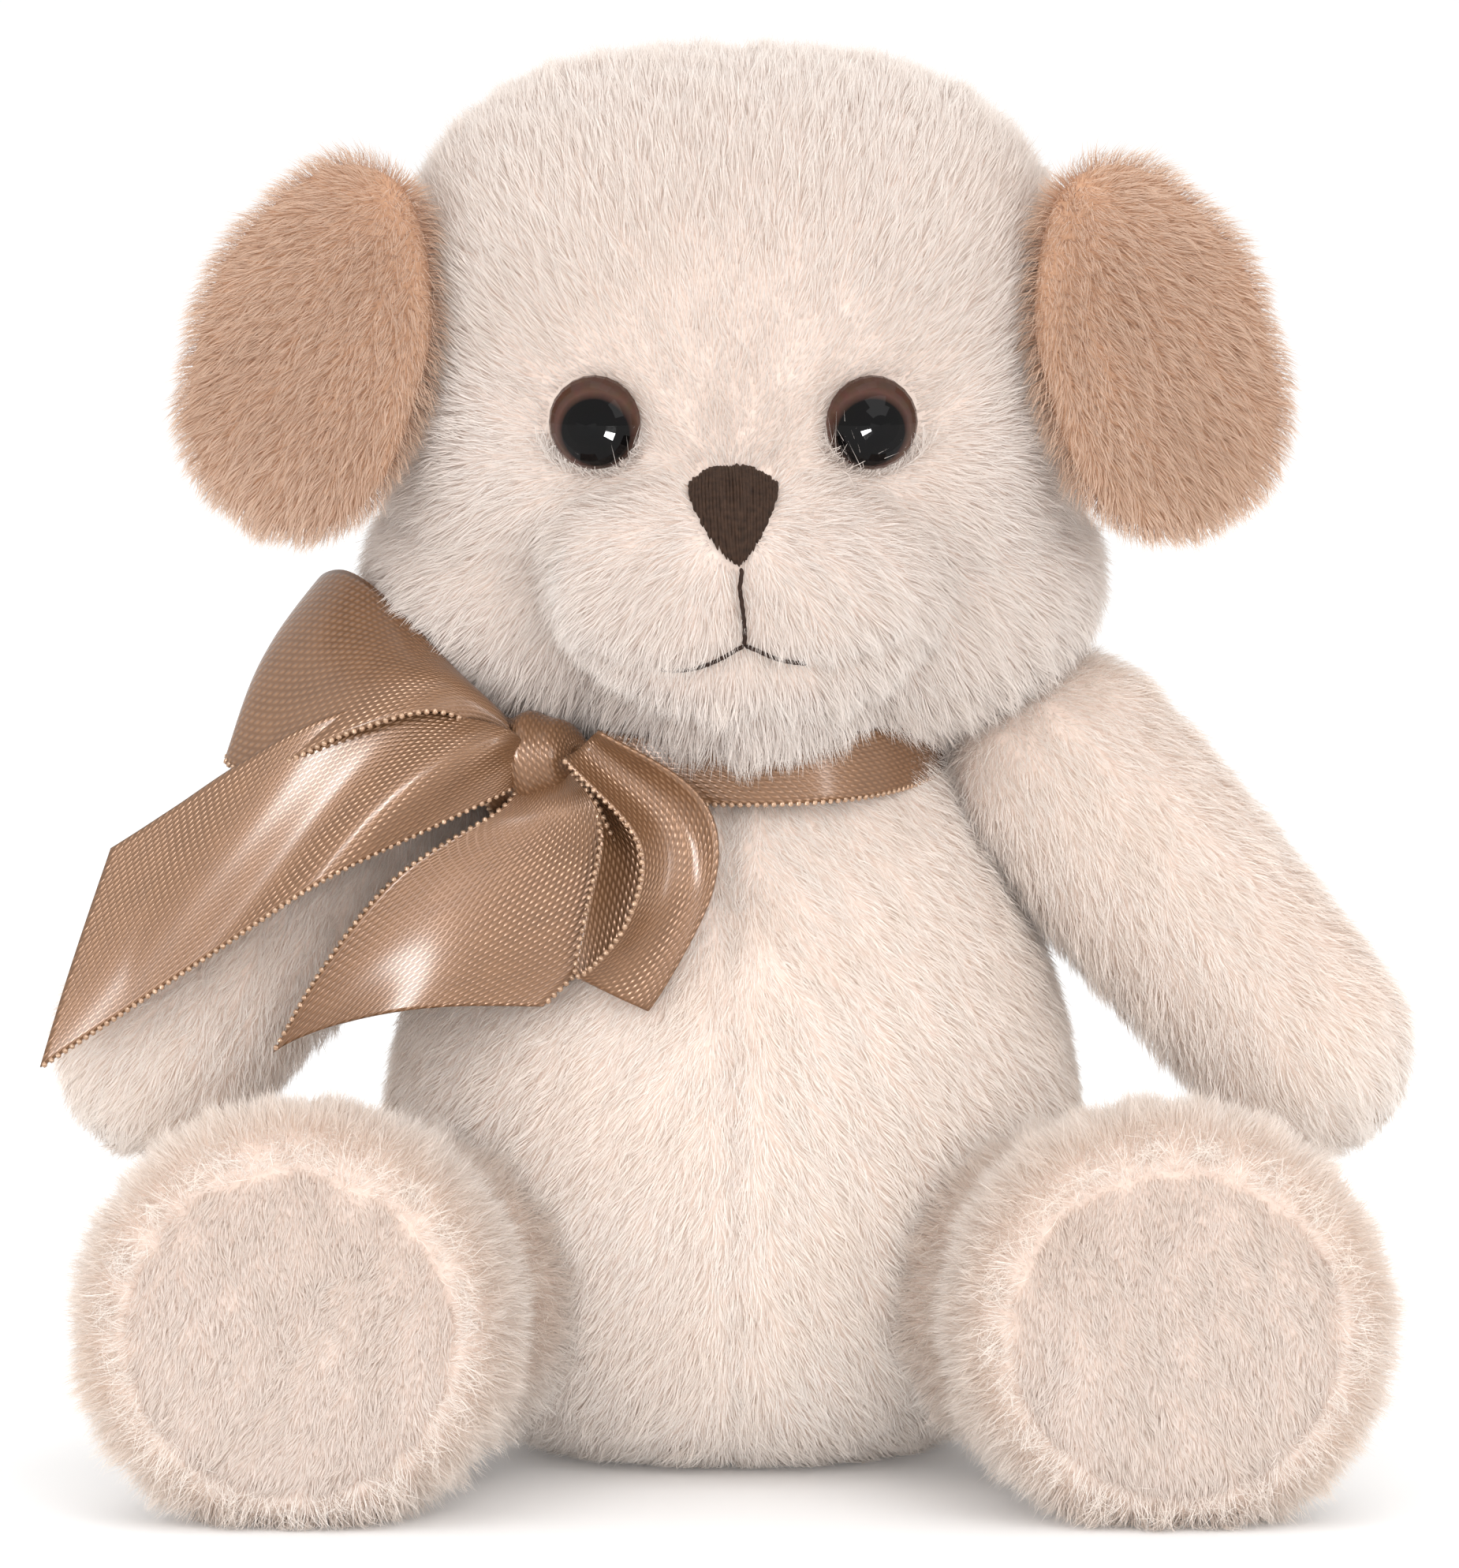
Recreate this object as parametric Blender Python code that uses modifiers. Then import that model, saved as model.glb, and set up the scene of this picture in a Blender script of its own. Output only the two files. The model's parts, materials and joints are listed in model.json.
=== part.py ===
"""Sitting plush dog: pile covers over stuffing, safety eyes, stitched face and a satin bow.

Metres, +Z up. The dog sits on z = 0 and faces -Y. Left and right are the dog's own sides, so its left
is +X. The origin is on the floor below the middle of the neck.
"""

import math

import bmesh
import bpy
from mathutils import Matrix, Vector

# Driving dimensions, in metres
WALL = 0.0024  # pressed thickness of the pile fabric
GAP = 0.0004  # clearance between pieces that touch
LIMB_GAP = 0.0012  # between a limb's cover and its filling
SEAM_GAP = 0.0003  # between the two halves of a cover
THREAD_RADIUS = 0.0005
THREAD_SINK = 3.2  # thread radii between the parting and an arc's start
SEAT_CLEARANCE = 0.0012  # between a limb and its round seat in the body

BODY_HEIGHT = 0.099  # floor to neck seam
BODY_HALF_WIDTH = 0.0445
BODY_DEPTH_SHARE = 0.86  # depth over width
# The body's outline from seat to neck: shares of its half width and of its height
BODY_SHAPE = ((0.78, 0.055), (0.93, 0.17), (1.0, 0.36), (0.975, 0.54), (0.89, 0.69), (0.75, 0.82))
BELOW_NECK = (0.58, 0.93)  # the outline's last point, which is never narrower than the neck
BODY_Y = 0.003  # the body's axis stands a little behind the neck's
SEAT_RADIUS = 0.024  # flat patch that the dog sits on
NECK_RADIUS = 0.0215
PELLET_HEIGHT = 0.021  # top of the pellet bag above the floor

HEAD_HALF_WIDTH = 0.045
HEAD_HALF_DEPTH = 0.038
HEAD_HALF_HEIGHT = 0.0435
PLAN_SQUARENESS = 2.1  # power of the same shapes seen from above
SOFT_SQUARENESS = 2.2  # power of the muzzle and the ears
HEAD_SQUARENESS = 2.7  # power of the head's superellipsoid; 2 is a plain ellipsoid
HEAD_Y = 0.003
NECK_CLEARANCE = 0.0015  # between the head's underside and the body's neck
NECK_HOLE_RADIUS = 0.012
NECK_HOLE_SHARE = 0.8  # how far down the head's half height the hole starts

MUZZLE_HALF_WIDTH = 0.028
MUZZLE_HALF_DEPTH = 0.020
MUZZLE_HALF_HEIGHT = 0.020
MUZZLE_DROP = 0.0225  # muzzle's centre below the head's centre
MUZZLE_SUNK = 0.0110  # muzzle's centre behind the head's front

EYE_RADIUS = 0.0063
EYE_SPACING = 0.0360
EYE_DROP = 0.0016  # eyes' centres below the head's centre
EYE_DOME = 0.0042  # how far an eye stands out
EYE_LOOK_OUT = 0.30  # sideways for each unit forwards
EYE_FLANGE_LIFT = 0.0009  # the flange stands on the cover
EYE_FLANGE_EDGE = 0.0004
EYE_FLANGE_SHARE = 0.96  # the flange's back against the eye's radius
EYE_STEM_RADIUS = 0.0016
EYE_STEM_LENGTH = 0.012
WASHER_RADIUS = 0.0055
WASHER_THICKNESS = 0.0014
WASHER_DEPTH = 0.004  # between the cover and the washer, for the filling that it grips
POCKET_PAST = 0.001  # how far the filling's pocket stands past the stem's ends
CUT_PAST = 0.01  # how far a hole's cutter stands past what it cuts

NOSE_HALF_WIDTH = 0.0058
NOSE_HEIGHT = 0.0125
NOSE_THICKNESS = 0.0016
NOSE_TAPER = 0.86  # share of its width that the nose loses down to its point
NOSE_TAPER_POWER = 1.25
NOSE_TOP_SHARE = 0.84  # width of the top row
NOSE_ARCH = 0.05  # rise of the top row, as a share of the height
NOSE_ABOVE_MUZZLE = 0.0095  # nose's middle above the muzzle's centre
MOUTH_DROP = 0.0115  # lowest point of the mouth below the muzzle's centre
MOUTH_HALF_WIDTH = 0.0155
PARTING_SHARE = 0.55  # of the mouth's drop, where the parting meets the arcs
ARC_SHARE = 0.42  # of the mouth's drop, how far the arcs dip

EAR_HALF_LENGTH = 0.026
EAR_HALF_WIDTH = 0.0165
EAR_HALF_THICKNESS = 0.0042
EAR_RISE = 0.029  # ear seam above the head's centre
EAR_SEAM_IN = 0.0025  # ear seam inside the head's side
EAR_SEAM_FORWARD = 0.52  # share of the head's half depth
EAR_SHIFT = 0.006  # the flap hangs outside its seam
EAR_TILT = math.radians(16)  # the tip swings out
EAR_TURN = math.radians(25)  # the flap's outer edge turns back

ARM_RADIUS = 0.0145
ARM_LENGTH = 0.048  # shoulder pivot to the middle of the hand
ARM_SLOPE = math.radians(48)  # below the horizontal
ARM_FORWARD = 0.010
SHOULDER_OUT = 0.0010  # between the collar and the shoulder
SHOULDER_Y = 0.002
SHOULDER_DROP = 0.007  # shoulder pivot below the neck seam

LEG_RADIUS = 0.019
FOOT_RADIUS = 0.0262
SOLE_RADIUS = 0.0205
SOLE_THICKNESS = 0.0022
LEG_LENGTH = 0.041  # hip pivot to the sole's plane
LEG_SPLAY = 0.015  # how far the foot stands outside the hip
HIP_X = 0.043
HIP_Y = -0.027
HIP_SINK = 0.0015  # hip pivot below the foot's middle
KNEE_SHARE = 0.45
KNEE_OUT = 0.2  # share of the splay that the knee stands out more
ANKLE_SHARE = 0.25  # of the leg, between the ankle and the sole
FOOT_FROM = 0.72  # share of the leg where the foot has its full width
FOOT_SWELL = 1.4  # power of its widening
ROLL_FROM = 0.78  # share of the leg where the foot's rim starts to roll in

TAIL_RADIUS = 0.0080
TAIL_LENGTH = 0.020
TAIL_HEIGHT = 0.024  # root above the floor
TAIL_BEND = (0, 0.0072, 0.006)  # from the root to the tail's middle
TAIL_BACK, TAIL_UP = 0.55, 0.8  # the tip's place, as shares of the length
TAIL_TAPER = 0.25

RIBBON_THICKNESS = 0.0006
LABEL_WIDTH = 0.015
LABEL_HEIGHT = 0.010
LABEL_X = 0.012  # to the dog's left of the middle
LABEL_Z = 0.014  # lower edge above the floor
COLLAR_HEIGHT = 0.0075  # the ribbon lies folded round the neck
COLLAR_DROP = 0.002  # collar's middle below the neck seam
COLLAR_TILT = math.radians(4)
COLLAR_LOOSENESS = 0.0055  # between the neck and the ribbon, for the pile
KNOT_RADIUS = 0.0052
KNOT_STRETCH = 1.25  # its length over its thickness
KNOT_HEADING = math.radians(222)  # where on the collar the knot sits

# Values that follow
HEAD_Z = BODY_HEIGHT + NECK_CLEARANCE + HEAD_HALF_HEIGHT
MUZZLE_Y = HEAD_Y - HEAD_HALF_DEPTH + MUZZLE_SUNK
MUZZLE_Z = HEAD_Z - MUZZLE_DROP
COLLAR_RADIUS = NECK_RADIUS + COLLAR_LOOSENESS
SHOULDER_X = COLLAR_RADIUS + RIBBON_THICKNESS + SHOULDER_OUT + ARM_RADIUS
SHOULDER = Vector((SHOULDER_X, SHOULDER_Y, BODY_HEIGHT - SHOULDER_DROP))
HIP = Vector((HIP_X, HIP_Y, FOOT_RADIUS - HIP_SINK))
TAIL_ROOT = Vector((0, BODY_Y + BODY_HALF_WIDTH * BODY_DEPTH_SHARE, TAIL_HEIGHT))

CREAM = (0.86, 0.74, 0.65, 1)
TAN = (0.73, 0.50, 0.36, 1)
SATIN = (0.46, 0.27, 0.16, 1)
DARK = (0.035, 0.018, 0.012, 1)
FIBRE = (0.85, 0.85, 0.84, 1)

for old in list(bpy.data.objects):
    bpy.data.objects.remove(old, do_unlink=True)


def collection(name):
    made = bpy.data.collections.new(name)
    bpy.context.scene.collection.children.link(made)
    return made


DOG = collection("plush_dog")
CUTTERS = collection("cutters")


def material(name, colour, roughness, metallic=0.0):
    made = bpy.data.materials.new(name)
    made.use_nodes = True
    shader = made.node_tree.nodes["Principled BSDF"]
    shader.inputs["Base Color"].default_value = colour
    shader.inputs["Roughness"].default_value = roughness
    shader.inputs["Metallic"].default_value = metallic
    made.diffuse_color = colour
    return made


def add(name, mesh, colour, roughness=0.9):
    """Link a mesh as a sub-part with its own material."""
    made = bpy.data.objects.new(name, mesh)
    DOG.objects.link(made)
    mesh.materials.clear()
    mesh.materials.append(material(name, colour, roughness))
    mesh.shade_smooth()
    mesh.set_sharp_from_angle(angle=math.radians(40))
    return made


def cut(body, mesh):
    """Take a mesh away from a sub-part."""
    cutter = bpy.data.objects.new(f"cut_{body.name}", mesh)
    CUTTERS.objects.link(cutter)
    cutter.hide_render = True
    cutter.display_type = "WIRE"
    bite = body.modifiers.new("cut", "BOOLEAN")
    bite.operation = "DIFFERENCE"
    bite.object = cutter
    return cutter


def mesh_from(bm, name):
    mesh = bpy.data.meshes.new(name)
    bmesh.ops.recalc_face_normals(bm, faces=bm.faces)
    if bm.calc_volume(signed=True) < 0:
        bmesh.ops.reverse_faces(bm, faces=bm.faces)
    bm.to_mesh(mesh)
    bm.free()
    return mesh


def superball(name, centre, radii, power=2.0, segments=24, rings=14, flat_power=PLAN_SQUARENESS):
    """A ball with superellipses for sections: 2 is an ellipse and more is squarer.

    power shapes its upright sections and flat_power its level ones.
    """
    bm = bmesh.new()
    bmesh.ops.create_uvsphere(bm, u_segments=segments, v_segments=rings, radius=1.0)
    for vert in bm.verts:
        x, y, z = (abs(c) for c in vert.co)
        level = (x**flat_power + y**flat_power) ** (power / flat_power)
        unit = vert.co / (level + z**power) ** (1 / power)
        vert.co = Vector(centre) + Vector(u * r for u, r in zip(unit, radii))
    return mesh_from(bm, name)


def ball(name, centre, radius, segments=20, rings=12):
    return superball(name, centre, (radius,) * 3, 2.0, segments, rings, 2.0)


def block(name, low, high):
    bm = bmesh.new()
    bmesh.ops.create_cube(bm, size=1.0)
    low, high = Vector(low), Vector(high)
    for vert in bm.verts:
        vert.co = Vector(a + (b - a) * (c + 0.5) for a, b, c in zip(low, high, vert.co))
    return mesh_from(bm, name)


def rod(name, start, end, radius, segments=20):
    """A cylinder between two points."""
    start, end = Vector(start), Vector(end)
    bm = bmesh.new()
    bmesh.ops.create_cone(
        bm, cap_ends=True, segments=segments, radius1=radius, radius2=radius, depth=(end - start).length
    )
    turn = (end - start).to_track_quat("Z", "Y").to_matrix().to_4x4()
    bm.transform(Matrix.Translation((start + end) / 2) @ turn)
    return mesh_from(bm, name)


def spline(points, share):
    """A point on a Catmull-Rom curve through the given points, at a share of its length in steps."""
    points = [Vector(p) for p in points]
    place = min(max(share, 0.0), 1.0) * (len(points) - 1)
    at = min(int(place), len(points) - 2)
    t = place - at
    p1, p2 = points[at], points[at + 1]
    p0 = points[at - 1] if at else p1 * 2 - p2
    p3 = points[at + 2] if at + 2 < len(points) else p2 * 2 - p1
    return 0.5 * (
        2 * p1 + (p2 - p0) * t + (2 * p0 - 5 * p1 + 4 * p2 - p3) * t**2 + (3 * p1 - p0 - 3 * p2 + p3) * t**3
    )


def tube(name, points, radii, sides=3):
    """A mesh tube along points, with a radius at each; sides is a bevel resolution."""
    curve = bpy.data.curves.new(name, "CURVE")
    curve.dimensions = "3D"
    curve.bevel_depth = 1.0
    curve.bevel_resolution = sides
    curve.use_fill_caps = True
    path = curve.splines.new("POLY")
    path.points.add(len(points) - 1)
    for made, point, radius in zip(path.points, points, radii):
        made.co = (*point, 1)
        made.radius = radius
    guide = bpy.data.objects.new(name, curve)
    CUTTERS.objects.link(guide)
    bpy.context.view_layer.update()
    mesh = bpy.data.meshes.new_from_object(guide.evaluated_get(bpy.context.evaluated_depsgraph_get()))
    mesh.transform(guide.matrix_world)
    bpy.data.objects.remove(guide, do_unlink=True)
    bm = bmesh.new()
    bm.from_mesh(mesh)
    bmesh.ops.remove_doubles(bm, verts=bm.verts, dist=1e-6)
    return mesh_from(bm, name)


def limb(name, points, radius_at, round_start, round_end, grow=0.0, stretch=(0.0, 0.0), rings=16):
    """A stuffed tube with round ends.

    radius_at gives the radius at a share of the length. round_start and round_end are the lengths of
    the round ends, and the ends' radii are taken from a quarter circle. grow widens the tube, and
    stretch lengthens it, at the start and at the end.
    """
    line = [spline(points, i / 40) for i in range(41)]
    steps = [0.0]
    for a, b in zip(line, line[1:]):
        steps.append(steps[-1] + (b - a).length)
    length = steps[-1]
    first = (line[1] - line[0]).normalized()
    last = (line[-1] - line[-2]).normalized()

    def along(distance):
        if distance <= 0:
            return line[0] + first * distance
        if distance >= length:
            return line[-1] + last * (distance - length)
        at = next(i for i in range(40) if steps[i + 1] >= distance)
        return line[at].lerp(line[at + 1], (distance - steps[at]) / (steps[at + 1] - steps[at]))

    low = -round_start - grow - stretch[0]
    high = length + round_end + grow + stretch[1]
    places, radii = [], []
    for i in range(rings + 1):
        angle = math.pi * i / rings
        place = low + (high - low) * (1 - math.cos(angle)) / 2
        radius = radius_at(min(max(place / length, 0.0), 1.0)) + grow
        for reach, span in ((place - low, round_start + grow), (high - place, round_end + grow)):
            if span > 0 and reach < span:
                radius *= math.sqrt(max(1 - (1 - reach / span) ** 2, 0.0))
        places.append(along(place))
        radii.append(max(radius, 0.0009))
    return tube(name, places, radii, sides=4)


# ---- body ----


def body_profile():
    """Radius and height up the body's side, from the seat to the neck."""
    side = [(BODY_HALF_WIDTH * wide, BODY_HEIGHT * high) for wide, high in BODY_SHAPE]
    last = (max(BODY_HALF_WIDTH * BELOW_NECK[0], NECK_RADIUS), BODY_HEIGHT * BELOW_NECK[1])
    return [(0.0, 0.0), (SEAT_RADIUS, 0.0), *side, last, (NECK_RADIUS, BODY_HEIGHT)]


def body_half_width(height):
    """The body's half width at a height, read off its profile."""
    outline = body_profile()
    for (r0, z0), (r1, z1) in zip(outline, outline[1:]):
        if z1 > z0 and z0 <= height <= z1:
            return r0 + (r1 - r0) * (height - z0) / (z1 - z0)
    return outline[-1][0]


def pear(name, inset=0.0, wall=0.0):
    """The body's solid, turned and then narrowed from front to back.

    It is shrunk by an inset. With a wall it is a shell that is open at the neck.
    """
    outline = [(max(r - inset, 0.0), min(max(z, inset), BODY_HEIGHT - inset)) for r, z in body_profile()]
    if wall:
        hollow = [(max(r - wall, 0.0), max(z, wall)) for r, z in body_profile()]
        loop = [hollow[-1], *reversed(outline), *hollow]
    else:
        loop = [(0.0, outline[-1][1]), *reversed(outline)]
    mesh = turned(name, loop, 28)
    mesh.transform(Matrix.Translation((0, BODY_Y, 0)) @ Matrix.Diagonal((1, BODY_DEPTH_SHARE, 1, 1)))
    return mesh


def half_of(mesh, side):
    """Keep one side of a mesh and close it, half a seam's gap from the middle plane."""
    bm = bmesh.new()
    bm.from_mesh(mesh)
    everything = bm.verts[:] + bm.edges[:] + bm.faces[:]
    place = (side * SEAM_GAP / 2, 0, 0)
    bmesh.ops.bisect_plane(bm, geom=everything, plane_co=place, plane_no=(side, 0, 0), clear_inner=True)
    bmesh.ops.holes_fill(bm, edges=[edge for edge in bm.edges if edge.is_boundary])
    bmesh.ops.triangulate(bm, faces=[face for face in bm.faces if len(face.verts) > 4])
    return mesh_from(bm, mesh.name)


def arm_points(side):
    reach = Vector((math.cos(ARM_SLOPE), 0, -math.sin(ARM_SLOPE))) * ARM_LENGTH
    hand = SHOULDER + reach + Vector((0, -ARM_FORWARD, 0))
    middle = SHOULDER.lerp(hand, 0.5) + Vector((0.0, 0.001, 0.0015))
    return [Vector((side * p.x, p.y, p.z)) for p in (SHOULDER, middle, hand)]


def arm(name, side, grow=0.0, stretch=0.0):
    return limb(name, arm_points(side), lambda s: ARM_RADIUS, ARM_RADIUS, ARM_RADIUS, grow, (stretch, 0.0))


def leg_points(side):
    foot = Vector((HIP.x + LEG_SPLAY, HIP.y - LEG_LENGTH, FOOT_RADIUS))
    knee = HIP.lerp(foot, KNEE_SHARE) + Vector((LEG_SPLAY * KNEE_OUT, 0, 0))
    ankle = Vector((foot.x, foot.y + LEG_LENGTH * ANKLE_SHARE, foot.z))
    return [Vector((side * p.x, p.y, p.z)) for p in (HIP, knee, ankle, foot)]


def leg_radius(share):
    """The leg widens to the foot, whose rim rolls in to the sole."""
    radius = LEG_RADIUS + (FOOT_RADIUS - LEG_RADIUS) * min(share / FOOT_FROM, 1.0) ** FOOT_SWELL
    roll = max((share - ROLL_FROM) / (1 - ROLL_FROM), 0.0)
    return radius - (FOOT_RADIUS - SOLE_RADIUS) * (1 - math.sqrt(max(1 - roll**2, 0.0)))


def leg(name, side, grow=0.0, stretch=(0.0, 0.0), rings=20):
    return limb(name, leg_points(side), leg_radius, LEG_RADIUS, 0.0, grow, stretch, rings)


def tail_points():
    tip = Vector((0, TAIL_LENGTH * TAIL_BACK, TAIL_LENGTH * TAIL_UP))
    return [TAIL_ROOT, TAIL_ROOT + Vector(TAIL_BEND), TAIL_ROOT + tip]


def tail_mesh(name, grow=0.0):
    def radius(share):
        return TAIL_RADIUS * (1 - TAIL_TAPER * share)

    return limb(name, tail_points(), radius, TAIL_RADIUS, TAIL_RADIUS, grow)


def cut_limbs(body, clearance, sides=(1, -1)):
    """Clear a piece of the body from the limbs sewn to it, which turn in round seats."""
    for side in sides:
        shoulder, hip = arm_points(side)[0], leg_points(side)[0]
        cut(body, arm("arm_space", side, clearance))
        cut(body, leg("leg_space", side, clearance, (0.0, 0.01)))
        cut(body, ball("shoulder_space", shoulder, ARM_RADIUS + clearance * 1.6))
        cut(body, ball("hip_space", hip, LEG_RADIUS + clearance * 1.6))
    cut(body, tail_mesh("tail_space", clearance))


def make_body():
    far = 0.2
    for side, word in ((1, "left"), (-1, "right")):
        half = add(f"body_cover_{word}", half_of(pear("body", 0.0, WALL), side), CREAM)
        cut_limbs(half, SEAT_CLEARANCE, (side,))
    inset = WALL + GAP
    stuffing = add("body_stuffing", pear("stuffing", inset), FIBRE)
    cut(stuffing, block("below", (-far, -far, -far), (far, far, PELLET_HEIGHT + GAP)))
    cut_limbs(stuffing, SEAT_CLEARANCE + GAP)
    pellets = add("pellet_bag", pear("pellets", inset), FIBRE)
    cut(pellets, block("above", (-far, -far, PELLET_HEIGHT), (far, far, far)))
    cut_limbs(pellets, SEAT_CLEARANCE + GAP)


def make_limbs():
    inner = WALL + LIMB_GAP
    for side, word in ((1, "left"), (-1, "right")):
        cover = add(f"arm_cover_{word}", arm("arm", side), CREAM)
        cut(cover, arm("arm_hollow", side, -WALL, ARM_RADIUS))
        add(f"arm_stuffing_{word}", arm("arm_fill", side, -inner), FIBRE)
        cover = add(f"leg_cover_{word}", leg("leg", side), CREAM)
        cut(cover, leg("leg_hollow", side, -WALL, (LEG_RADIUS, 0.01), 30))
        add(f"leg_stuffing_{word}", leg("leg_fill", side, -inner), FIBRE)
        front = leg_points(side)[-1] + Vector((0, -GAP, 0))
        back = front + Vector((0, -SOLE_THICKNESS, 0))
        add(f"sole_{word}", rod("sole", front, back, SOLE_RADIUS, 32), CREAM)
    add("tail", tail_mesh("tail"), TAN)


# ---- head ----


def head_ball(name, inset=0.0):
    radii = [r - inset for r in (HEAD_HALF_WIDTH, HEAD_HALF_DEPTH, HEAD_HALF_HEIGHT)]
    return superball(name, (0, HEAD_Y, HEAD_Z), radii, HEAD_SQUARENESS, 28, 18)


def muzzle_ball(name, inset=0.0):
    radii = [r - inset for r in (MUZZLE_HALF_WIDTH, MUZZLE_HALF_DEPTH, MUZZLE_HALF_HEIGHT)]
    return superball(name, (0, MUZZLE_Y, MUZZLE_Z), radii, SOFT_SQUARENESS, 24, 14)


def ball_front(x, z, centre, radii, power, flat_power=PLAN_SQUARENESS):
    """The y of a superball's front surface at x and z."""
    level = max(1 - abs((z - centre[2]) / radii[2]) ** power, 0.0) ** (flat_power / power)
    left = level - abs((x - centre[0]) / radii[0]) ** flat_power
    return centre[1] - radii[1] * max(left, 0.0) ** (1 / flat_power)


def face_front(x, z):
    """The y of the head's front surface at x and z."""
    radii = (HEAD_HALF_WIDTH, HEAD_HALF_DEPTH, HEAD_HALF_HEIGHT)
    return ball_front(x, z, (0, HEAD_Y, HEAD_Z), radii, HEAD_SQUARENESS)


def muzzle_front(x, z):
    radii = (MUZZLE_HALF_WIDTH, MUZZLE_HALF_DEPTH, MUZZLE_HALF_HEIGHT)
    return ball_front(x, z, (0, MUZZLE_Y, MUZZLE_Z), radii, SOFT_SQUARENESS)


def eye_frame(side):
    """The seat of an eye on the face, and the direction that it looks in."""
    x, z = side * EYE_SPACING / 2, HEAD_Z - EYE_DROP
    seat = Vector((x, face_front(x, z), z))
    return seat, Vector((side * EYE_LOOK_OUT, -1, 0.0)).normalized()


def make_head():
    below = Vector((0, 0, HEAD_Z - HEAD_HALF_HEIGHT - CUT_PAST))
    neck = (below, Vector((0, 0, HEAD_Z - HEAD_HALF_HEIGHT * NECK_HOLE_SHARE)))
    cover = add("head_cover", head_ball("head"), CREAM)
    cut(cover, head_ball("head_hollow", WALL))
    cut(cover, rod("neck_hole", *neck, NECK_HOLE_RADIUS))
    filling = add("head_stuffing", head_ball("head_fill", WALL + GAP), FIBRE)
    muzzle = add("muzzle_cover", muzzle_ball("muzzle"), CREAM)
    cut(muzzle, muzzle_ball("muzzle_hollow", WALL))
    cut(muzzle, head_ball("head_space", -GAP))
    padding = add("muzzle_stuffing", muzzle_ball("muzzle_fill", WALL + GAP), FIBRE)
    cut(padding, head_ball("head_space", -GAP * 1.5))
    for side, word in ((1, "left"), (-1, "right")):
        seat, look = eye_frame(side)
        make_eye(word, seat, look)
        stem = (seat + look * CUT_PAST, seat - look * (EYE_STEM_LENGTH + WASHER_DEPTH))
        cut(cover, rod("stem_hole", *stem, EYE_STEM_RADIUS + GAP, 12))
        pocket = (seat + look * POCKET_PAST, seat - look * (EYE_STEM_LENGTH + POCKET_PAST))
        cut(filling, rod("washer_pocket", *pocket, WASHER_RADIUS + GAP))
        rest = seat + look * (EYE_DOME * 0.5)
        cut(muzzle, ball("eye_space", rest, EYE_RADIUS + GAP * 3))
        cut(padding, ball("eye_space", rest, EYE_RADIUS + GAP * 4))


def make_eye(word, seat, look):
    """A domed eye with its stem in one piece, and the lock washer pressed onto the stem."""
    turn = look.to_track_quat("Z", "Y").to_matrix().to_4x4()
    under = EYE_FLANGE_LIFT - EYE_FLANGE_EDGE
    outline = [(0.0, EYE_DOME + EYE_FLANGE_LIFT)]
    for i in range(1, 8):
        angle = math.radians(90 - 90 * i / 7)
        outline.append((EYE_RADIUS * math.cos(angle), EYE_FLANGE_LIFT + EYE_DOME * math.sin(angle)))
    outline += [(EYE_RADIUS * EYE_FLANGE_SHARE, under), (EYE_STEM_RADIUS, under)]
    outline += [(EYE_STEM_RADIUS, -EYE_STEM_LENGTH), (0.0, -EYE_STEM_LENGTH)]
    eye = add(f"eye_{word}", turned("eye", outline, 24), DARK, 0.1)
    eye.data.transform(Matrix.Translation(seat) @ turn)
    depth = WALL + WASHER_THICKNESS + WASHER_DEPTH
    washer_front = seat - look * depth
    washer_back = washer_front - look * WASHER_THICKNESS
    washer = add(f"eye_washer_{word}", rod("washer", washer_front, washer_back, WASHER_RADIUS), FIBRE, 0.4)
    through = look * CUT_PAST
    hole = rod("washer_hole", washer_front + through, washer_back - through, EYE_STEM_RADIUS + GAP, 12)
    cut(washer, hole)


def turned(name, outline, steps):
    """A solid turned about Z from (radius, height) points that run down its outer side."""
    bm = bmesh.new()
    verts = [bm.verts.new((r, 0, z)) for r, z in outline]
    edges = [bm.edges.new(pair) for pair in zip(verts, verts[1:])]
    bmesh.ops.spin(
        bm,
        geom=verts + edges,
        axis=(0, 0, 1),
        cent=(0, 0, 0),
        angle=math.tau,
        steps=steps,
        use_duplicate=False,
    )
    bmesh.ops.remove_doubles(bm, verts=bm.verts, dist=1e-6)
    return mesh_from(bm, name)


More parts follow.
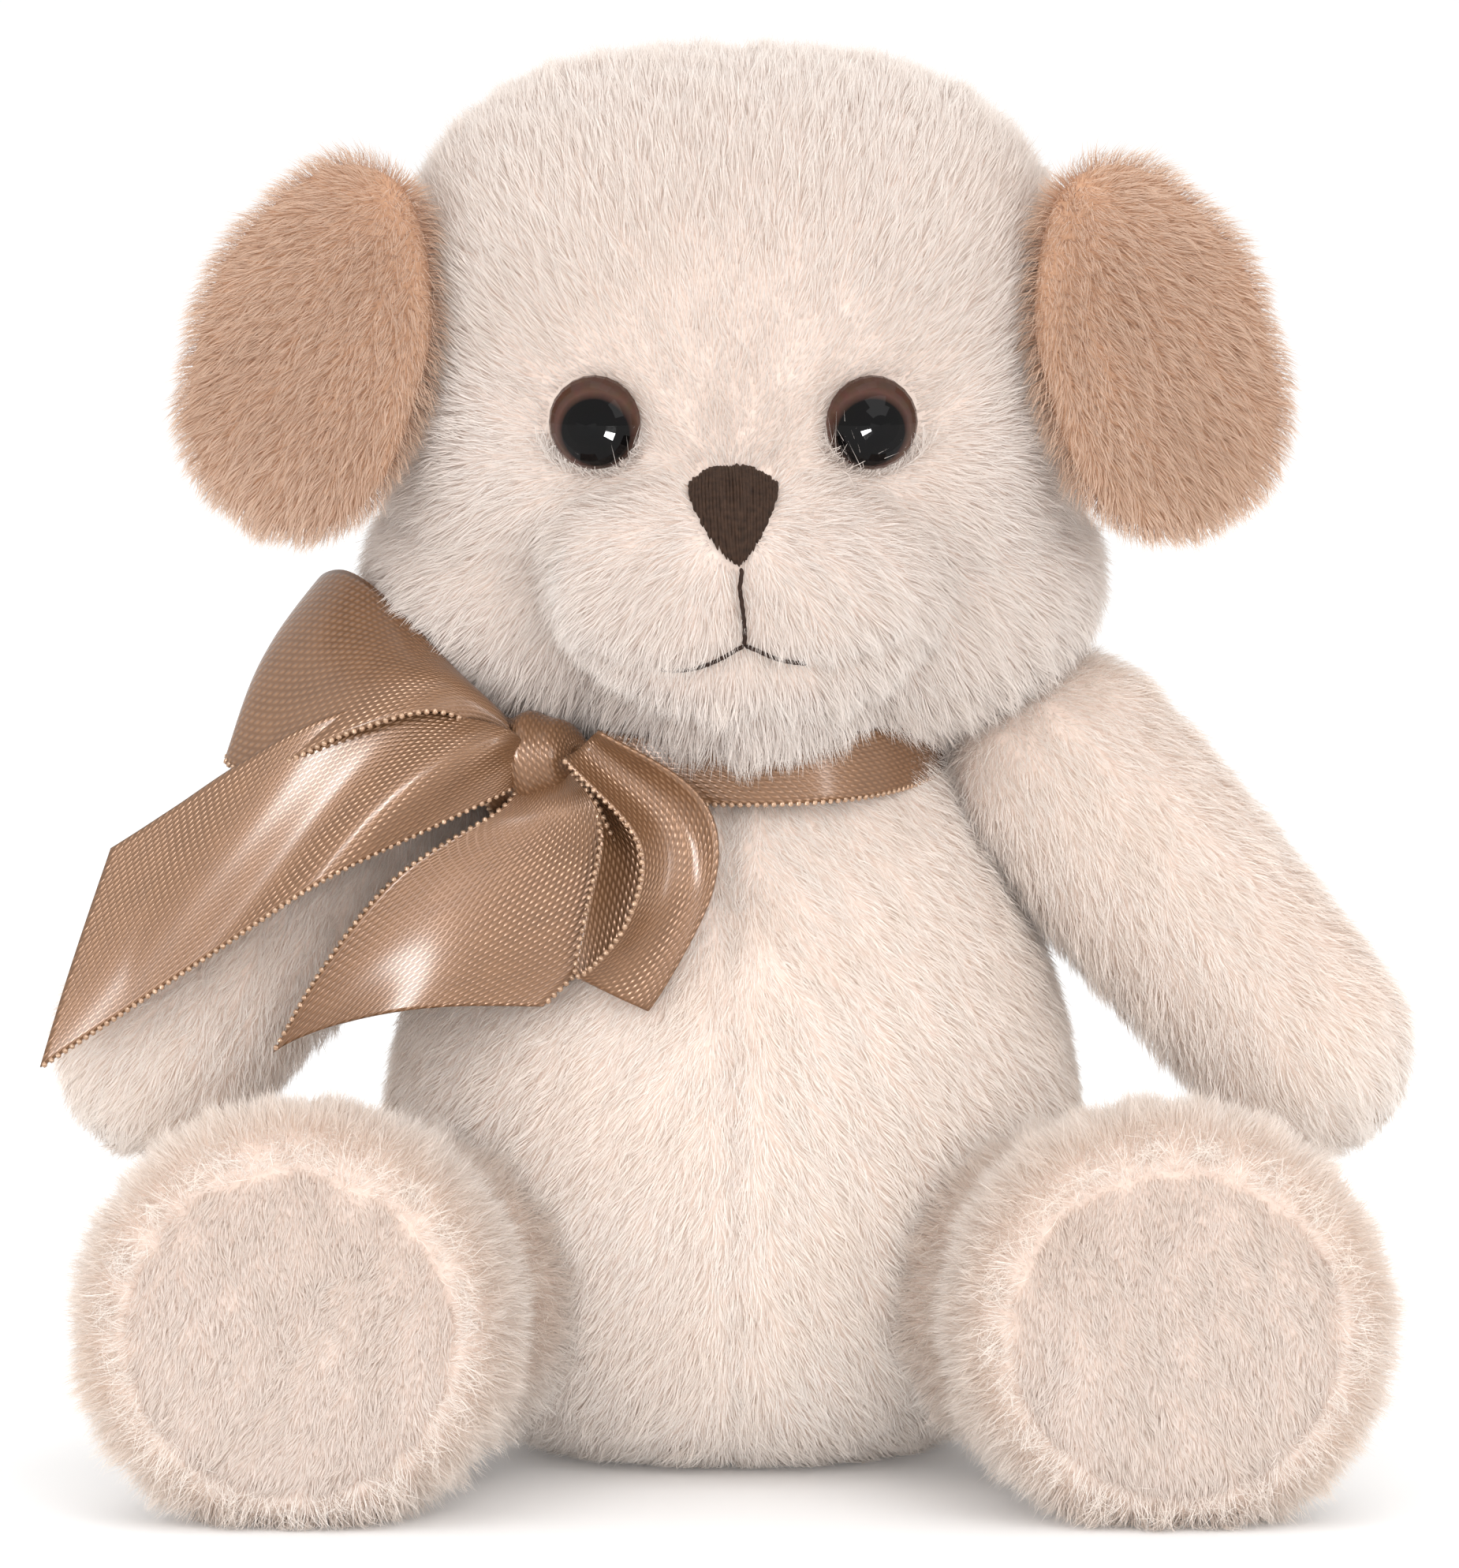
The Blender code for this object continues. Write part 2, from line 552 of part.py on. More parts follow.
def make_face():
    """The embroidered nose and the mouth's stitches, just clear of the muzzle."""
    middle = MUZZLE_Z + NOSE_ABOVE_MUZZLE
    bm = bmesh.new()
    across, down = 8, 8
    rows = []
    for j in range(down + 1):
        share = j / down
        wide = NOSE_HALF_WIDTH * (1 - NOSE_TAPER * share**NOSE_TAPER_POWER) * (1 if j else NOSE_TOP_SHARE)
        row = []
        for i in range(across + 1):
            x = wide * (2 * i / across - 1)
            z = middle + NOSE_HEIGHT * (0.5 - share)
            if not j:
                z += NOSE_HEIGHT * NOSE_ARCH * math.cos(math.pi * (i / across - 0.5))
            row.append(bm.verts.new((x, muzzle_front(x, z) - GAP * 2, z)))
        rows.append(row)
    for upper, lower in zip(rows, rows[1:]):
        for i in range(across):
            bm.faces.new((upper[i], upper[i + 1], lower[i + 1], lower[i]))
    sheet = bpy.data.meshes.new("nose")
    bm.to_mesh(sheet)
    bm.free()
    nose = add("nose", sheet, DARK, 0.8)
    if nose.data.polygons[0].normal.y > 0:
        nose.data.flip_normals()
    thick = nose.modifiers.new("thick", "SOLIDIFY")
    thick.thickness = NOSE_THICKNESS
    thick.offset = 1.0

    off = THREAD_RADIUS + GAP * 2
    top = middle - NOSE_HEIGHT * 0.5 - THREAD_RADIUS * 3
    parting = MUZZLE_Z - MOUTH_DROP * PARTING_SHARE

    def on_muzzle(x, z):
        return Vector((x, muzzle_front(x, z) - off, z))

    line = [on_muzzle(0, top + (parting - top) * i / 7) for i in range(8)]
    add("philtrum_stitch", tube("philtrum", line, [THREAD_RADIUS] * 8, 1), DARK)
    for side, word in ((1, "left"), (-1, "right")):
        line = []
        for i in range(12):
            share = i / 11
            x = side * (THREAD_RADIUS * THREAD_SINK + MOUTH_HALF_WIDTH * share)
            dip = math.sin(math.pi * min(share * 0.62 + 0.06, 1.0)) ** 0.8
            line.append(on_muzzle(x, parting - THREAD_RADIUS - MOUTH_DROP * ARC_SHARE * dip))
        add(f"mouth_stitch_{word}", tube("mouth", line, [THREAD_RADIUS] * 12, 1), DARK)


def make_ears():
    for side, word in ((1, "left"), (-1, "right")):
        pivot = ear_pivot(side)
        size = (EAR_HALF_WIDTH, EAR_HALF_THICKNESS, EAR_HALF_LENGTH)
        mesh = superball("ear", (0, 0, 0), size, SOFT_SQUARENESS, 20, 14)
        drop = Matrix.Translation((side * EAR_SHIFT, 0, -EAR_HALF_LENGTH))
        turn = Matrix.Rotation(-side * EAR_TILT, 4, "Y") @ Matrix.Rotation(side * EAR_TURN, 4, "Z")
        mesh.transform(Matrix.Translation(pivot) @ turn @ drop)
        add(f"ear_{word}", mesh, TAN)


def ear_pivot(side):
    """The seam by which an ear hangs, high on the side of the head."""
    forward = HEAD_HALF_DEPTH * EAR_SEAM_FORWARD
    return Vector((side * (HEAD_HALF_WIDTH - EAR_SEAM_IN), HEAD_Y - forward, HEAD_Z + EAR_RISE))


# ---- ribbon ----


def strip(name, edge_a, edge_b, steps=12, across=2):
    """A ribbon between two edges given as points, made thick."""
    bm = bmesh.new()
    rows = []
    for i in range(steps + 1):
        a, b = spline(edge_a, i / steps), spline(edge_b, i / steps)
        rows.append([bm.verts.new(a.lerp(b, j / across)) for j in range(across + 1)])
    for upper, lower in zip(rows, rows[1:]):
        for j in range(across):
            bm.faces.new((upper[j], upper[j + 1], lower[j + 1], lower[j]))
    sheet = bpy.data.meshes.new(name)
    bm.to_mesh(sheet)
    bm.free()
    made = add(name, sheet, SATIN, 0.35)
    thick = made.modifiers.new("thick", "SOLIDIFY")
    thick.thickness = RIBBON_THICKNESS
    thick.offset = 0.0
    return made


def make_collar():
    """The ribbon round the neck seam: a ring that hangs a little lower in front."""
    half = Vector((0, 0, COLLAR_HEIGHT / 2))
    place = Matrix.Translation((0, 0, BODY_HEIGHT - COLLAR_DROP)) @ Matrix.Rotation(COLLAR_TILT, 4, "X")
    band = rod("collar", -half, half, COLLAR_RADIUS + RIBBON_THICKNESS, 40)
    hole = rod("collar_hole", -half * 2, half * 2, COLLAR_RADIUS, 40)
    for mesh in (band, hole):
        mesh.transform(place)
    cut(add("collar_ribbon", band, SATIN, 0.35), hole)


def knot_centre():
    """The knot sits on the collar, in front and to the dog's right."""
    out = COLLAR_RADIUS + RIBBON_THICKNESS + KNOT_RADIUS * KNOT_STRETCH + GAP
    x, y = out * math.cos(KNOT_HEADING), out * math.sin(KNOT_HEADING)
    return Vector((x, y, BODY_HEIGHT - COLLAR_DROP + math.sin(COLLAR_TILT) * y))


def make_bow():
    """The knot, two loops and two tails. Points are millimetres from the knot's centre."""
    knot = knot_centre()
    radii = (KNOT_RADIUS * KNOT_STRETCH, KNOT_RADIUS, KNOT_RADIUS)
    add("bow_knot", superball("knot", knot, radii, 2.6, 16, 10), SATIN, 0.35)

    def ribbon(name, edge_a, edge_b, steps):
        places = [[knot + Vector(p) * 0.001 for p in edge] for edge in (edge_a, edge_b)]
        strip(name, *places, steps)

    ribbon(
        "bow_loop_side",
        [
            (-7, -3, 4),
            (-14, -5, 8),
            (-25, -4, 4.5),
            (-37, 0, 0),
            (-42, 5, 1.5),
            (-35, 10, 3),
            (-20, 7, 4),
            (-8, 3, 3),
        ],
        [
            (-6, -1, 8),
            (-13, 2, 16),
            (-21, 12, 22),
            (-26, 19, 23),
            (-29, 24, 20),
            (-25, 25, 15),
            (-15, 14, 10),
            (-8, 4, 6),
        ],
        20,
    )
    ribbon(
        "bow_loop_front",
        [
            (7.5, -8, 0),
            (14, -14, -9),
            (11, -16, -19),
            (5, -12.5, -26),
            (6, -10, -19),
            (8, -9, -9),
            (8, -6, -3),
        ],
        [
            (13, -7, 1),
            (21.5, -9, -5),
            (22, -12, -15),
            (14.5, -12, -30),
            (16, -9.5, -21),
            (18, -8, -11),
            (13, -5.5, -2),
        ],
        20,
    )
    ribbon(
        "bow_tail_side",
        [(-8, -3, -4), (-27, -4, -15), (-47, -4, -27), (-66, -3, -39.5)],
        [(-9, -3, 0.5), (-23, 0, 0), (-38, 4, -2), (-58, 5, -12)],
        12,
    )
    ribbon(
        "bow_tail_front",
        [(-3, -5, -7), (-20.5, -3, -15), (-29, -2, -26), (-36, -1, -37.5)],
        [(5, -6, -7), (9, -6, -16), (7, -7, -24), (0, -8, -30.5)],
        12,
    )


def make_label():
    """A label in the seam low on the dog's back, with nothing on it."""
    wide = body_half_width(LABEL_Z + LABEL_WIDTH)
    back = BODY_Y + BODY_DEPTH_SHARE * math.sqrt(wide**2 - LABEL_X**2)
    low = Vector((LABEL_X, back + GAP, LABEL_Z))
    size = Vector((RIBBON_THICKNESS, LABEL_HEIGHT, LABEL_WIDTH))
    add("care_label", block("label", low, low + size), FIBRE)


make_body()
make_limbs()
make_head()
make_face()
make_ears()
make_collar()
make_bow()
make_label()
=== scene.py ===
"""Looks of the sitting plush dog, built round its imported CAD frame: pile, satin bow, eyes and stitches."""

import json
import math

import bmesh
import bpy
import numpy as np
from mathutils import Matrix, Vector
from mathutils.bvhtree import BVHTree
from mathutils.kdtree import KDTree


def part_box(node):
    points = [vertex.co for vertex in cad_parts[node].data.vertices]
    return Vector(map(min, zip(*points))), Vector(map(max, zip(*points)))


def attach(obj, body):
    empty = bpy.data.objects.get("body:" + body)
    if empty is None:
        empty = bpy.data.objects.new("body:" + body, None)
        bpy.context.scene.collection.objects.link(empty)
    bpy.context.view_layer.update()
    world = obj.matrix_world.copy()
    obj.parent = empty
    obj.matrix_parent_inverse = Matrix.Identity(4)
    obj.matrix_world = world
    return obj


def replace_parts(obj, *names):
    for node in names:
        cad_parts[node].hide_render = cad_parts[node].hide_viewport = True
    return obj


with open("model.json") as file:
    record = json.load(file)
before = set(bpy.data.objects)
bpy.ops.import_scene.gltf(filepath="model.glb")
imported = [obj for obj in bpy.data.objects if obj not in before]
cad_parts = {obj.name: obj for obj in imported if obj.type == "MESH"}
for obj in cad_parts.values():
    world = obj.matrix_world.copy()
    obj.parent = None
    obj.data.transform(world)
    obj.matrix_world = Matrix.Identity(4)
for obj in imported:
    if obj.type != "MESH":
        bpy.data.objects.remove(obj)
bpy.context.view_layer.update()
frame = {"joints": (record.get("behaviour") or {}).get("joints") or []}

MM = 0.001
RNG = np.random.default_rng(11)
WORDS = {1: "left", -1: "right"}  # the sign of x and the name of each of the dog's sides
UP = np.array([0, 0, 1.0])
AHEAD = np.array([0, -1.0, 0])


# ---- places read from the frame ----


def corners(node):
    low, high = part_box(node)
    return np.array(low), np.array(high)


def joint_place(name):
    return np.array(next(j["pos_m"] for j in frame["joints"] if j["name"] == name))


def middle(node):
    low, high = corners(node)
    return (low + high) / 2


def half(node):
    low, high = corners(node)
    return (high - low) / 2


HEAD_TALL = 0.965  # the head's height as a share of its width
MUZZLE_SET = 20 * MM  # how far the muzzle's centre is behind its front
HEAD = middle("head_cover")
HEAD_HALF = half("head_cover")
HEAD_HALF[2] = HEAD_HALF[0] * HEAD_TALL
HEAD[2] = corners("head_cover")[1][2] - HEAD_HALF[2]
MUZZLE_HALF = half("muzzle_cover")
MUZZLE = middle("muzzle_cover")
MUZZLE[1] = corners("muzzle_cover")[0][1] + MUZZLE_SET
BODY_TOP = corners("body_cover_left")[1][2]
BODY_HALF = corners("body_cover_left")[1][0]
BODY_Y = middle("body_cover_left")[1]
BODY_DEPTH = half("body_cover_left")[1]


# ---- small numeric helpers ----


def mm(*numbers):
    """A vector given in millimetres."""
    return np.array(numbers) * MM


def mirror(side):
    """What turns a place on the left into the same place on a side."""
    return np.array([side, 1, 1])


def unit(vectors):
    """Rows scaled to length 1."""
    length = np.linalg.norm(vectors, axis=-1, keepdims=True)
    return vectors / np.maximum(length, 1e-12)


def smooth_step(low, high, value):
    t = np.clip((value - low) / (high - low), 0.0, 1.0)
    return t * t * (3 - 2 * t)


def bell(off, width):
    return np.exp(-((off / width) ** 2))


class Waves:
    """A smooth random field: a sum of plane waves of about one wavelength."""

    def __init__(self, wavelength, seed, count=14):
        rng = np.random.default_rng(seed)
        heading = unit(rng.normal(size=(count, 3)))
        number = math.tau / (wavelength * rng.uniform(0.75, 1.35, count))
        self.vectors = heading * number[:, None]
        self.phases = rng.uniform(0, math.tau, count)
        self.scale = math.sqrt(2 / count)

    def value(self, points):
        return np.sin(points @ self.vectors.T + self.phases).sum(1) * self.scale

    def pull(self, points):
        """The field's slope, about 1 long, along which strands gather into clumps."""
        swing = np.cos(points @ self.vectors.T + self.phases)
        return unit(swing @ self.vectors) * np.minimum(np.abs(swing).mean(1, keepdims=True) * 1.5, 1)


def curve(points, count):
    """Evenly numbered points on a Catmull-Rom curve through the given points."""
    points = np.asarray(points, float)
    padded = np.vstack([points[0] * 2 - points[1], points, points[-1] * 2 - points[-2]])
    place = np.linspace(0, len(points) - 1, count)
    at = np.minimum(place.astype(int), len(points) - 2)
    t = (place - at)[:, None]
    p0, p1, p2, p3 = (padded[at + k] for k in range(4))
    square = (2 * p0 - 5 * p1 + 4 * p2 - p3) * t**2
    return 0.5 * (2 * p1 + (p2 - p0) * t + square + (3 * p1 - p0 - 3 * p2 + p3) * t**3)


def distances(line):
    """How far along a line each of its points is."""
    return np.concatenate([[0], np.cumsum(np.linalg.norm(np.diff(line, axis=0), axis=1))])


def read_at(places, along, line):
    """What a line's rows are at other distances along it."""
    return np.stack([np.interp(places, along, line[:, k]) for k in range(3)], 1)


# ---- meshes ----


def link(data, name):
    made = bpy.data.objects.new(name, data)
    bpy.context.scene.collection.objects.link(made)
    return made


def read_vectors(items, attribute):
    flat = np.empty(len(items) * 3)
    items.foreach_get(attribute, flat)
    return flat.reshape(-1, 3)


def tube_faces(rows, around, first=0):
    """The faces between rings of points that are numbered from first."""
    faces = []
    for row in range(rows - 1):
        for j in range(around):
            here, there = (first + row * around + k for k in (j, (j + 1) % around))
            faces.append((here, there, there + around, here + around))
    return faces


def ring_mesh(name, rings, first, last):
    """A closed skin through rings of points, with a pole at each end."""
    rows, around = rings.shape[:2]
    verts = np.vstack([rings.reshape(-1, 3), first, last])
    faces = tube_faces(rows, around)
    base, top = rows * around, rows * around + 1
    for j in range(around):
        k = (j + 1) % around
        faces.append((base, k, j))
        faces.append((top, (rows - 1) * around + j, (rows - 1) * around + k))
    bm = bmesh.new()
    made = [bm.verts.new(v) for v in verts]
    for face in faces:
        bm.faces.new([made[i] for i in face])
    bmesh.ops.recalc_face_normals(bm, faces=bm.faces)
    if bm.calc_volume(signed=True) < 0:
        bmesh.ops.reverse_faces(bm, faces=bm.faces)
    mesh = bpy.data.meshes.new(name)
    bm.to_mesh(mesh)
    bm.free()
    mesh.shade_smooth()
    return link(mesh, name)


def plain_mesh(name, verts, faces, material, weave=None):
    """A smooth mesh from lists, with its points' places in the weave if it is woven."""
    mesh = bpy.data.meshes.new(name)
    mesh.from_pydata(verts, [], faces)
    if weave is not None:
        corner = np.empty(len(mesh.loops), np.int32)
        mesh.loops.foreach_get("vertex_index", corner)
        layer = mesh.uv_layers.new(name="weave")
        layer.data.foreach_set("uv", weave[corner].reshape(-1).astype(np.float32))
    mesh.shade_smooth()
    mesh.materials.append(material)
    return link(mesh, name)


POLES = np.array([[0, 0, -1.0], [0, 0, 1.0]])


def sphere_grid(rows, around):
    """Unit directions in rings from the bottom to the top, without the poles."""
    lat = np.linspace(-math.pi / 2, math.pi / 2, rows + 2)[1:-1]
    lon = np.linspace(0, math.tau, around, endpoint=False)
    lat, lon = np.meshgrid(lat, lon, indexing="ij")
    return np.stack([np.cos(lat) * np.cos(lon), np.cos(lat) * np.sin(lon), np.sin(lat)], -1)


# ---- skins ----

HEAD_POWER = 2.85  # how square the head is from the front
SIDE_POWER = 2.15  # and from the side
CHEEK = mm(17, -1, -26.8)  # from the head's centre
CHEEK_RADII = mm(30.8, 29.5, 19.8)
CHIN = mm(0, 2.5, -13.5)  # from the muzzle's centre
CHIN_RADII = mm(17, 14, 9.5)
SNOUT_DEPTH = 20.5 * MM
HEAD_BLEND, SNOUT_BLEND = 4.0 * MM, 1.2 * MM  # how widely the balls run into each other
FACE = -10 * MM  # the nose and mouth are all ahead of this
# Depth and half width of the face's dents, and the nose's and the bridge's height over the muzzle
FOLD, FOLD_UNEVEN = (2.5 * MM, 3.2 * MM), 0.65
MOUTH_DENT = (1.7 * MM, 2.2 * MM)
EYE_DENT = (3.0 * MM, 8.5 * MM)
BRIDGE_DENT, BRIDGE_RISE = (1.2 * MM, 7 * MM), 21 * MM
MOUND, MOUND_HALF, MOUND_RISE = 1.5 * MM, (6.5 * MM, 7.0 * MM), 8.6 * MM


def skull_reach(origin, directions):
    """How far the head's superellipsoid is along each direction from a point inside it."""
    low = np.zeros(len(directions))
    high = np.full(len(directions), 0.12)
    for _ in range(26):
        mid = (low + high) / 2
        p = np.abs((origin + directions * mid[:, None] - HEAD) / HEAD_HALF)
        level = (p[:, 0] ** HEAD_POWER + p[:, 2] ** HEAD_POWER) ** (SIDE_POWER / HEAD_POWER)
        inside = level + p[:, 1] ** SIDE_POWER < 1
        low = np.where(inside, mid, low)
        high = np.where(inside, high, mid)
    return low


def ball_reach(origin, directions, centre, radii):
    """How far an ellipsoid's far side is along each direction; 0 where it is missed."""
    o, d = (origin - centre) / radii, directions / radii
    a, b, c = (d * d).sum(1), (d * o).sum(1), (o * o).sum() - 1
    root = b * b - a * c
    return np.where(root > 0, (-b + np.sqrt(np.maximum(root, 0))) / a, 0.0)


EYE_RADIUS = half("eye_left")[2]
EYE_DOME = 4.2 * MM
EYES = bpy.data.collections.new("eyes")  # what the catch light shines on
EYE_LOOK = unit(np.array([0.30, -1, 0]))  # the left eye's


def eye_rim(side):
    """The middle of an eye's rim, seen from the front."""
    low, high = corners("eye_left")
    out = high[0] - EYE_RADIUS * -EYE_LOOK[1]
    return np.array([side * out, low[1] + EYE_DOME, (low[2] + high[2]) / 2])


def eye_front(side):
    """The middle of an eye's dome."""
    return eye_rim(side) + EYE_LOOK * mirror(side) * EYE_DOME


def head_skin():
    """Skull, cheeks, muzzle and chin as one surface, folded round the muzzle and dented round each eye."""
    origin = np.array([0, MUZZLE[1] + 12 * MM, MUZZLE[2] + 10 * MM])
    directions = sphere_grid(150, 220)
    snout_radii = MUZZLE_HALF * np.array([1.0, 0, 1.0]) + np.array([0, SNOUT_DEPTH, 0])

    def surface(rays):
        balls = [skull_reach(origin, rays), ball_reach(origin, rays, MUZZLE + CHIN, CHIN_RADII)]
        for side in WORDS:
            balls.append(ball_reach(origin, rays, HEAD + CHEEK * mirror(side), CHEEK_RADII))
        snout = ball_reach(origin, rays, MUZZLE, snout_radii)
        reach = soft_top([soft_top(balls, HEAD_BLEND), snout], SNOUT_BLEND)
        points = origin + rays * reach[:, None]
        x, y, z = points.T
        _, _, rise = (points - MUZZLE).T
        ring = np.hypot(x / snout_radii[0], rise / (snout_radii[2] * 1.02))
        front = smooth_step(-4 * MM, -16 * MM, y) * smooth_step(12 * MM, 2 * MM, rise)
        depth = FOLD[0] * (1 - FOLD_UNEVEN * np.sign(x))
        reach = reach - depth * bell((ring - 1) * snout_radii[2], FOLD[1]) * front
        reach = reach - MOUTH_DENT[0] * (bell(mouth_gap(points), MOUTH_DENT[1]) * (y < FACE))
        nose = np.hypot(x / MOUND_HALF[0], (z - MUZZLE[2] - MOUND_RISE) / MOUND_HALF[1])
        reach = reach + MOUND * np.exp(-(nose**4)) * (y < FACE)
        for side in WORDS:
            off = np.linalg.norm((points - eye_front(side)) * np.array([1, 0.5, 1]), axis=1)
            reach = reach - EYE_DENT[0] * bell(off, EYE_DENT[1])
        off = (x / BRIDGE_DENT[1]) ** 2, ((z - MUZZLE[2] - BRIDGE_RISE) / BRIDGE_DENT[1]) ** 2
        reach = reach - BRIDGE_DENT[0] * np.exp(-off[0] - off[1]) * (y < 0)
        return origin + rays * reach[:, None]

    rings = surface(directions.reshape(-1, 3)).reshape(directions.shape)
    return ring_mesh("head_skin", rings, *surface(POLES))


def from_muzzle(points):
    return [(x * MM, MUZZLE[2] + z * MM) for x, z in points]


# Across and up from the muzzle's centre
PARTING = from_muzzle([(0.7, 4.3), (1.2, 0), (1.5, -5.7)])
MOUTH_LEFT = from_muzzle([(1.5, -5.7), (-0.5, -7.3), (-3.7, -8.9), (-7.0, -9.7), (-11, -9.5), (-17, -7.6)])
MOUTH_RIGHT = from_muzzle([(1.5, -5.7), (4.7, -7.6), (8.4, -8.7), (13, -8.9), (20, -7.0)])


def mouth_gap(points):
    """How far points are from the mouth and its parting, seen from the front."""
    lines = np.vstack([curve(line, 24) for line in (PARTING, MOUTH_LEFT, MOUTH_RIGHT)])
    gap = np.full(len(points), 1.0)
    for x, z in lines:
        gap = np.minimum(gap, np.hypot(points[:, 0] - x, points[:, 2] - z))
    return gap


def soft_top(reaches, blend):
    """The furthest of several surfaces, rounded where they cross."""
    top = np.max(reaches, axis=0)
    return top + blend * 0.6 * np.log(sum(np.exp((r - top) / blend) for r in reaches))


# Shares of the body's height and half width, from the seat to the neck
BODY_OUTLINE = (
    *((0.0, 0.44), (0.02, 0.60), (0.07, 0.80), (0.16, 0.945), (0.32, 1.03), (0.50, 1.02)),
    *((0.68, 0.92), (0.82, 0.79), (0.93, 0.66), (1.0, 0.56), (1.06, 0.40)),
)
BELLY, BACK = 1.03, 0.98  # how full the body is in front and behind
BODY_FLOOR = 0.3 * MM
SEAM_DENT = (0.9 * MM, 1.6 * MM)  # depth and half width


def body_skin():
    """The pear-shaped body, a little fuller in the belly than at the back."""
    outline = curve([(z, r, 0) for z, r in BODY_OUTLINE], 72)
    angle = np.linspace(0, math.tau, 120, endpoint=False)
    height = outline[:, 0][:, None] * BODY_TOP
    reach = outline[:, 1][:, None] * BODY_HALF
    x = reach * np.cos(angle)
    depth = np.where(np.sin(angle) < 0, BELLY, BACK) * BODY_DEPTH / BODY_HALF
    y = BODY_Y + reach * np.sin(angle) * depth
    seam = SEAM_DENT[0] * bell(x, SEAM_DENT[1]) * (np.sin(angle) < 0)
    rings = np.stack([x, y + seam, np.maximum(height + 0 * x, BODY_FLOOR)], -1)
    floor, top = (np.array([0, BODY_Y, z]) for z in (BODY_FLOOR, BODY_TOP * 1.07))
    return ring_mesh("body_skin", rings, floor, top)


def tube_skin(name, path, radius_at, sides=72, rows=70):
    """A stuffed tube along a path, whose radius is read at each share of its length."""
    spine = curve(path, 200)
    along = distances(spine)
    length = along[-1]
    place = (length * (1 - np.cos(np.linspace(0, math.pi, rows))) / 2)[1:-1]
    centre = read_at(place, along, spine)
    tangent = unit(read_at(place, along, unit(np.gradient(spine, axis=0))))
    side = unit(np.cross(tangent, UP))
    top = np.cross(side, tangent)
    turn = np.linspace(0, math.tau, sides, endpoint=False)[None, :, None]
    radius = radius_at(place, length)[:, None, None]
    rings = centre[:, None] + radius * (side[:, None] * np.cos(turn) + top[:, None] * np.sin(turn))
    return ring_mesh(name, rings, spine[0], spine[-1])


def capsule(radius):
    """A radius that rounds off at both ends like a half ball."""

    def at(place, length):
        from_end = np.minimum(place, length - place)
        return radius * np.sqrt(np.clip(1 - np.clip(1 - from_end / radius, 0, 1) ** 2, 0, 1))

    return at


ARM_RADIUS = 15.0 * MM
HAND_INSET = 14.5 * MM  # how far the hand's middle is inside the arm's box


def arm_path(side):
    """Shoulder to hand, ends included."""
    shoulder = joint_place(f"shoulder_{WORDS[side]}")
    low, high = corners(f"arm_cover_{WORDS[side]}")
    out = max(abs(low[0]), abs(high[0])) - HAND_INSET
    hand = np.array([side * out, low[1] + HAND_INSET, low[2] + HAND_INSET])
    forward = unit(hand - shoulder)
    elbow = (shoulder + hand) / 2 + mm(0, 0.5, 1.5)
    return shoulder - forward * HAND_INSET, elbow, hand + forward * HAND_INSET


def arm_skin(side):
    base = capsule(ARM_RADIUS)

    def radius(place, length):
        share = place / length
        return base(place, length) * (0.97 + 0.05 * np.sin(share * math.pi * 1.6 + 0.4))

    return tube_skin(f"arm_skin_{WORDS[side]}", arm_path(side), radius)


FOOT_RADIUS = corners("leg_cover_left")[1][2] / 2
THIGH_RADIUS = 20 * MM
THIGH_INSET = 16 * MM  # how far the leg reaches into the body behind its joint
LEG_RINGS = 60
# The foot's end: millimetres forward of the ankle ring, and share of the foot's radius
FOOT_END = (
    *((2.0, 0.985), (4.0, 0.955), (5.6, 0.915), (6.5, 0.875), (6.7, 0.845), (6.4, 0.825)),
    *((6.3, 0.80), (6.6, 0.775), (7.1, 0.72), (7.7, 0.60), (8.2, 0.40), (8.4, 0.20)),
)
FOOT_END_LENGTH = 8.5 * MM


def leg_skin(side):
    """A leg that widens to a round foot, whose rolled rim surrounds a crowned sole."""
    hip = joint_place(f"hip_{WORDS[side]}")
    sole = middle(f"sole_{WORDS[side]}")
    front = corners(f"sole_{WORDS[side]}")[0][1]
    ankle = np.array([sole[0], front + FOOT_END_LENGTH, sole[2]])
    knee = hip * 0.5 + ankle * 0.5 + mm(side * 3.0, 0, 0)
    spine = curve((hip + unit(hip - sole) * THIGH_INSET, hip, knee, ankle), LEG_RINGS)
    along = np.linspace(0, 1, LEG_RINGS)
    wide = THIGH_RADIUS + (FOOT_RADIUS - THIGH_RADIUS) * smooth_step(0.35, 0.92, along)
    wide = wide * np.sqrt(np.clip(1 - (1 - np.clip(along / 0.36, 0, 1)) ** 2, 0, 1))
    turn = np.linspace(0, math.tau, 110, endpoint=False)
    facing = unit(np.gradient(spine, axis=0))
    facing = unit(facing * (1 - along[:, None] ** 2) + AHEAD * along[:, None] ** 2)
    rings = [ring_at(spine[i], facing[i], wide[i], turn) for i in range(1, LEG_RINGS)]
    for forward, share in FOOT_END:
        rings.append(ring_at(ankle + AHEAD * (forward * MM), AHEAD, FOOT_RADIUS * share, turn))
    return ring_mesh(f"leg_skin_{WORDS[side]}", np.array(rings), spine[0], ankle + AHEAD * FOOT_END_LENGTH)


def ring_at(centre, facing, radius, turn):
    side = unit(np.cross(facing, UP))
    top = np.cross(side, facing)
    return centre + radius * (side * np.cos(turn)[:, None] + top * np.sin(turn)[:, None])


EAR_HALF = np.array([16.2, 5.0, 24.6])  # in millimetres
EAR_POWER = 2.3  # how square the ear is
EAR_CUP = 2.2 * MM
EAR_RISE = mm(0, 0, 1.3)  # over its CAD flap's middle
EAR_TILT, EAR_TURN = 16, 25  # in degrees, from the front and from above


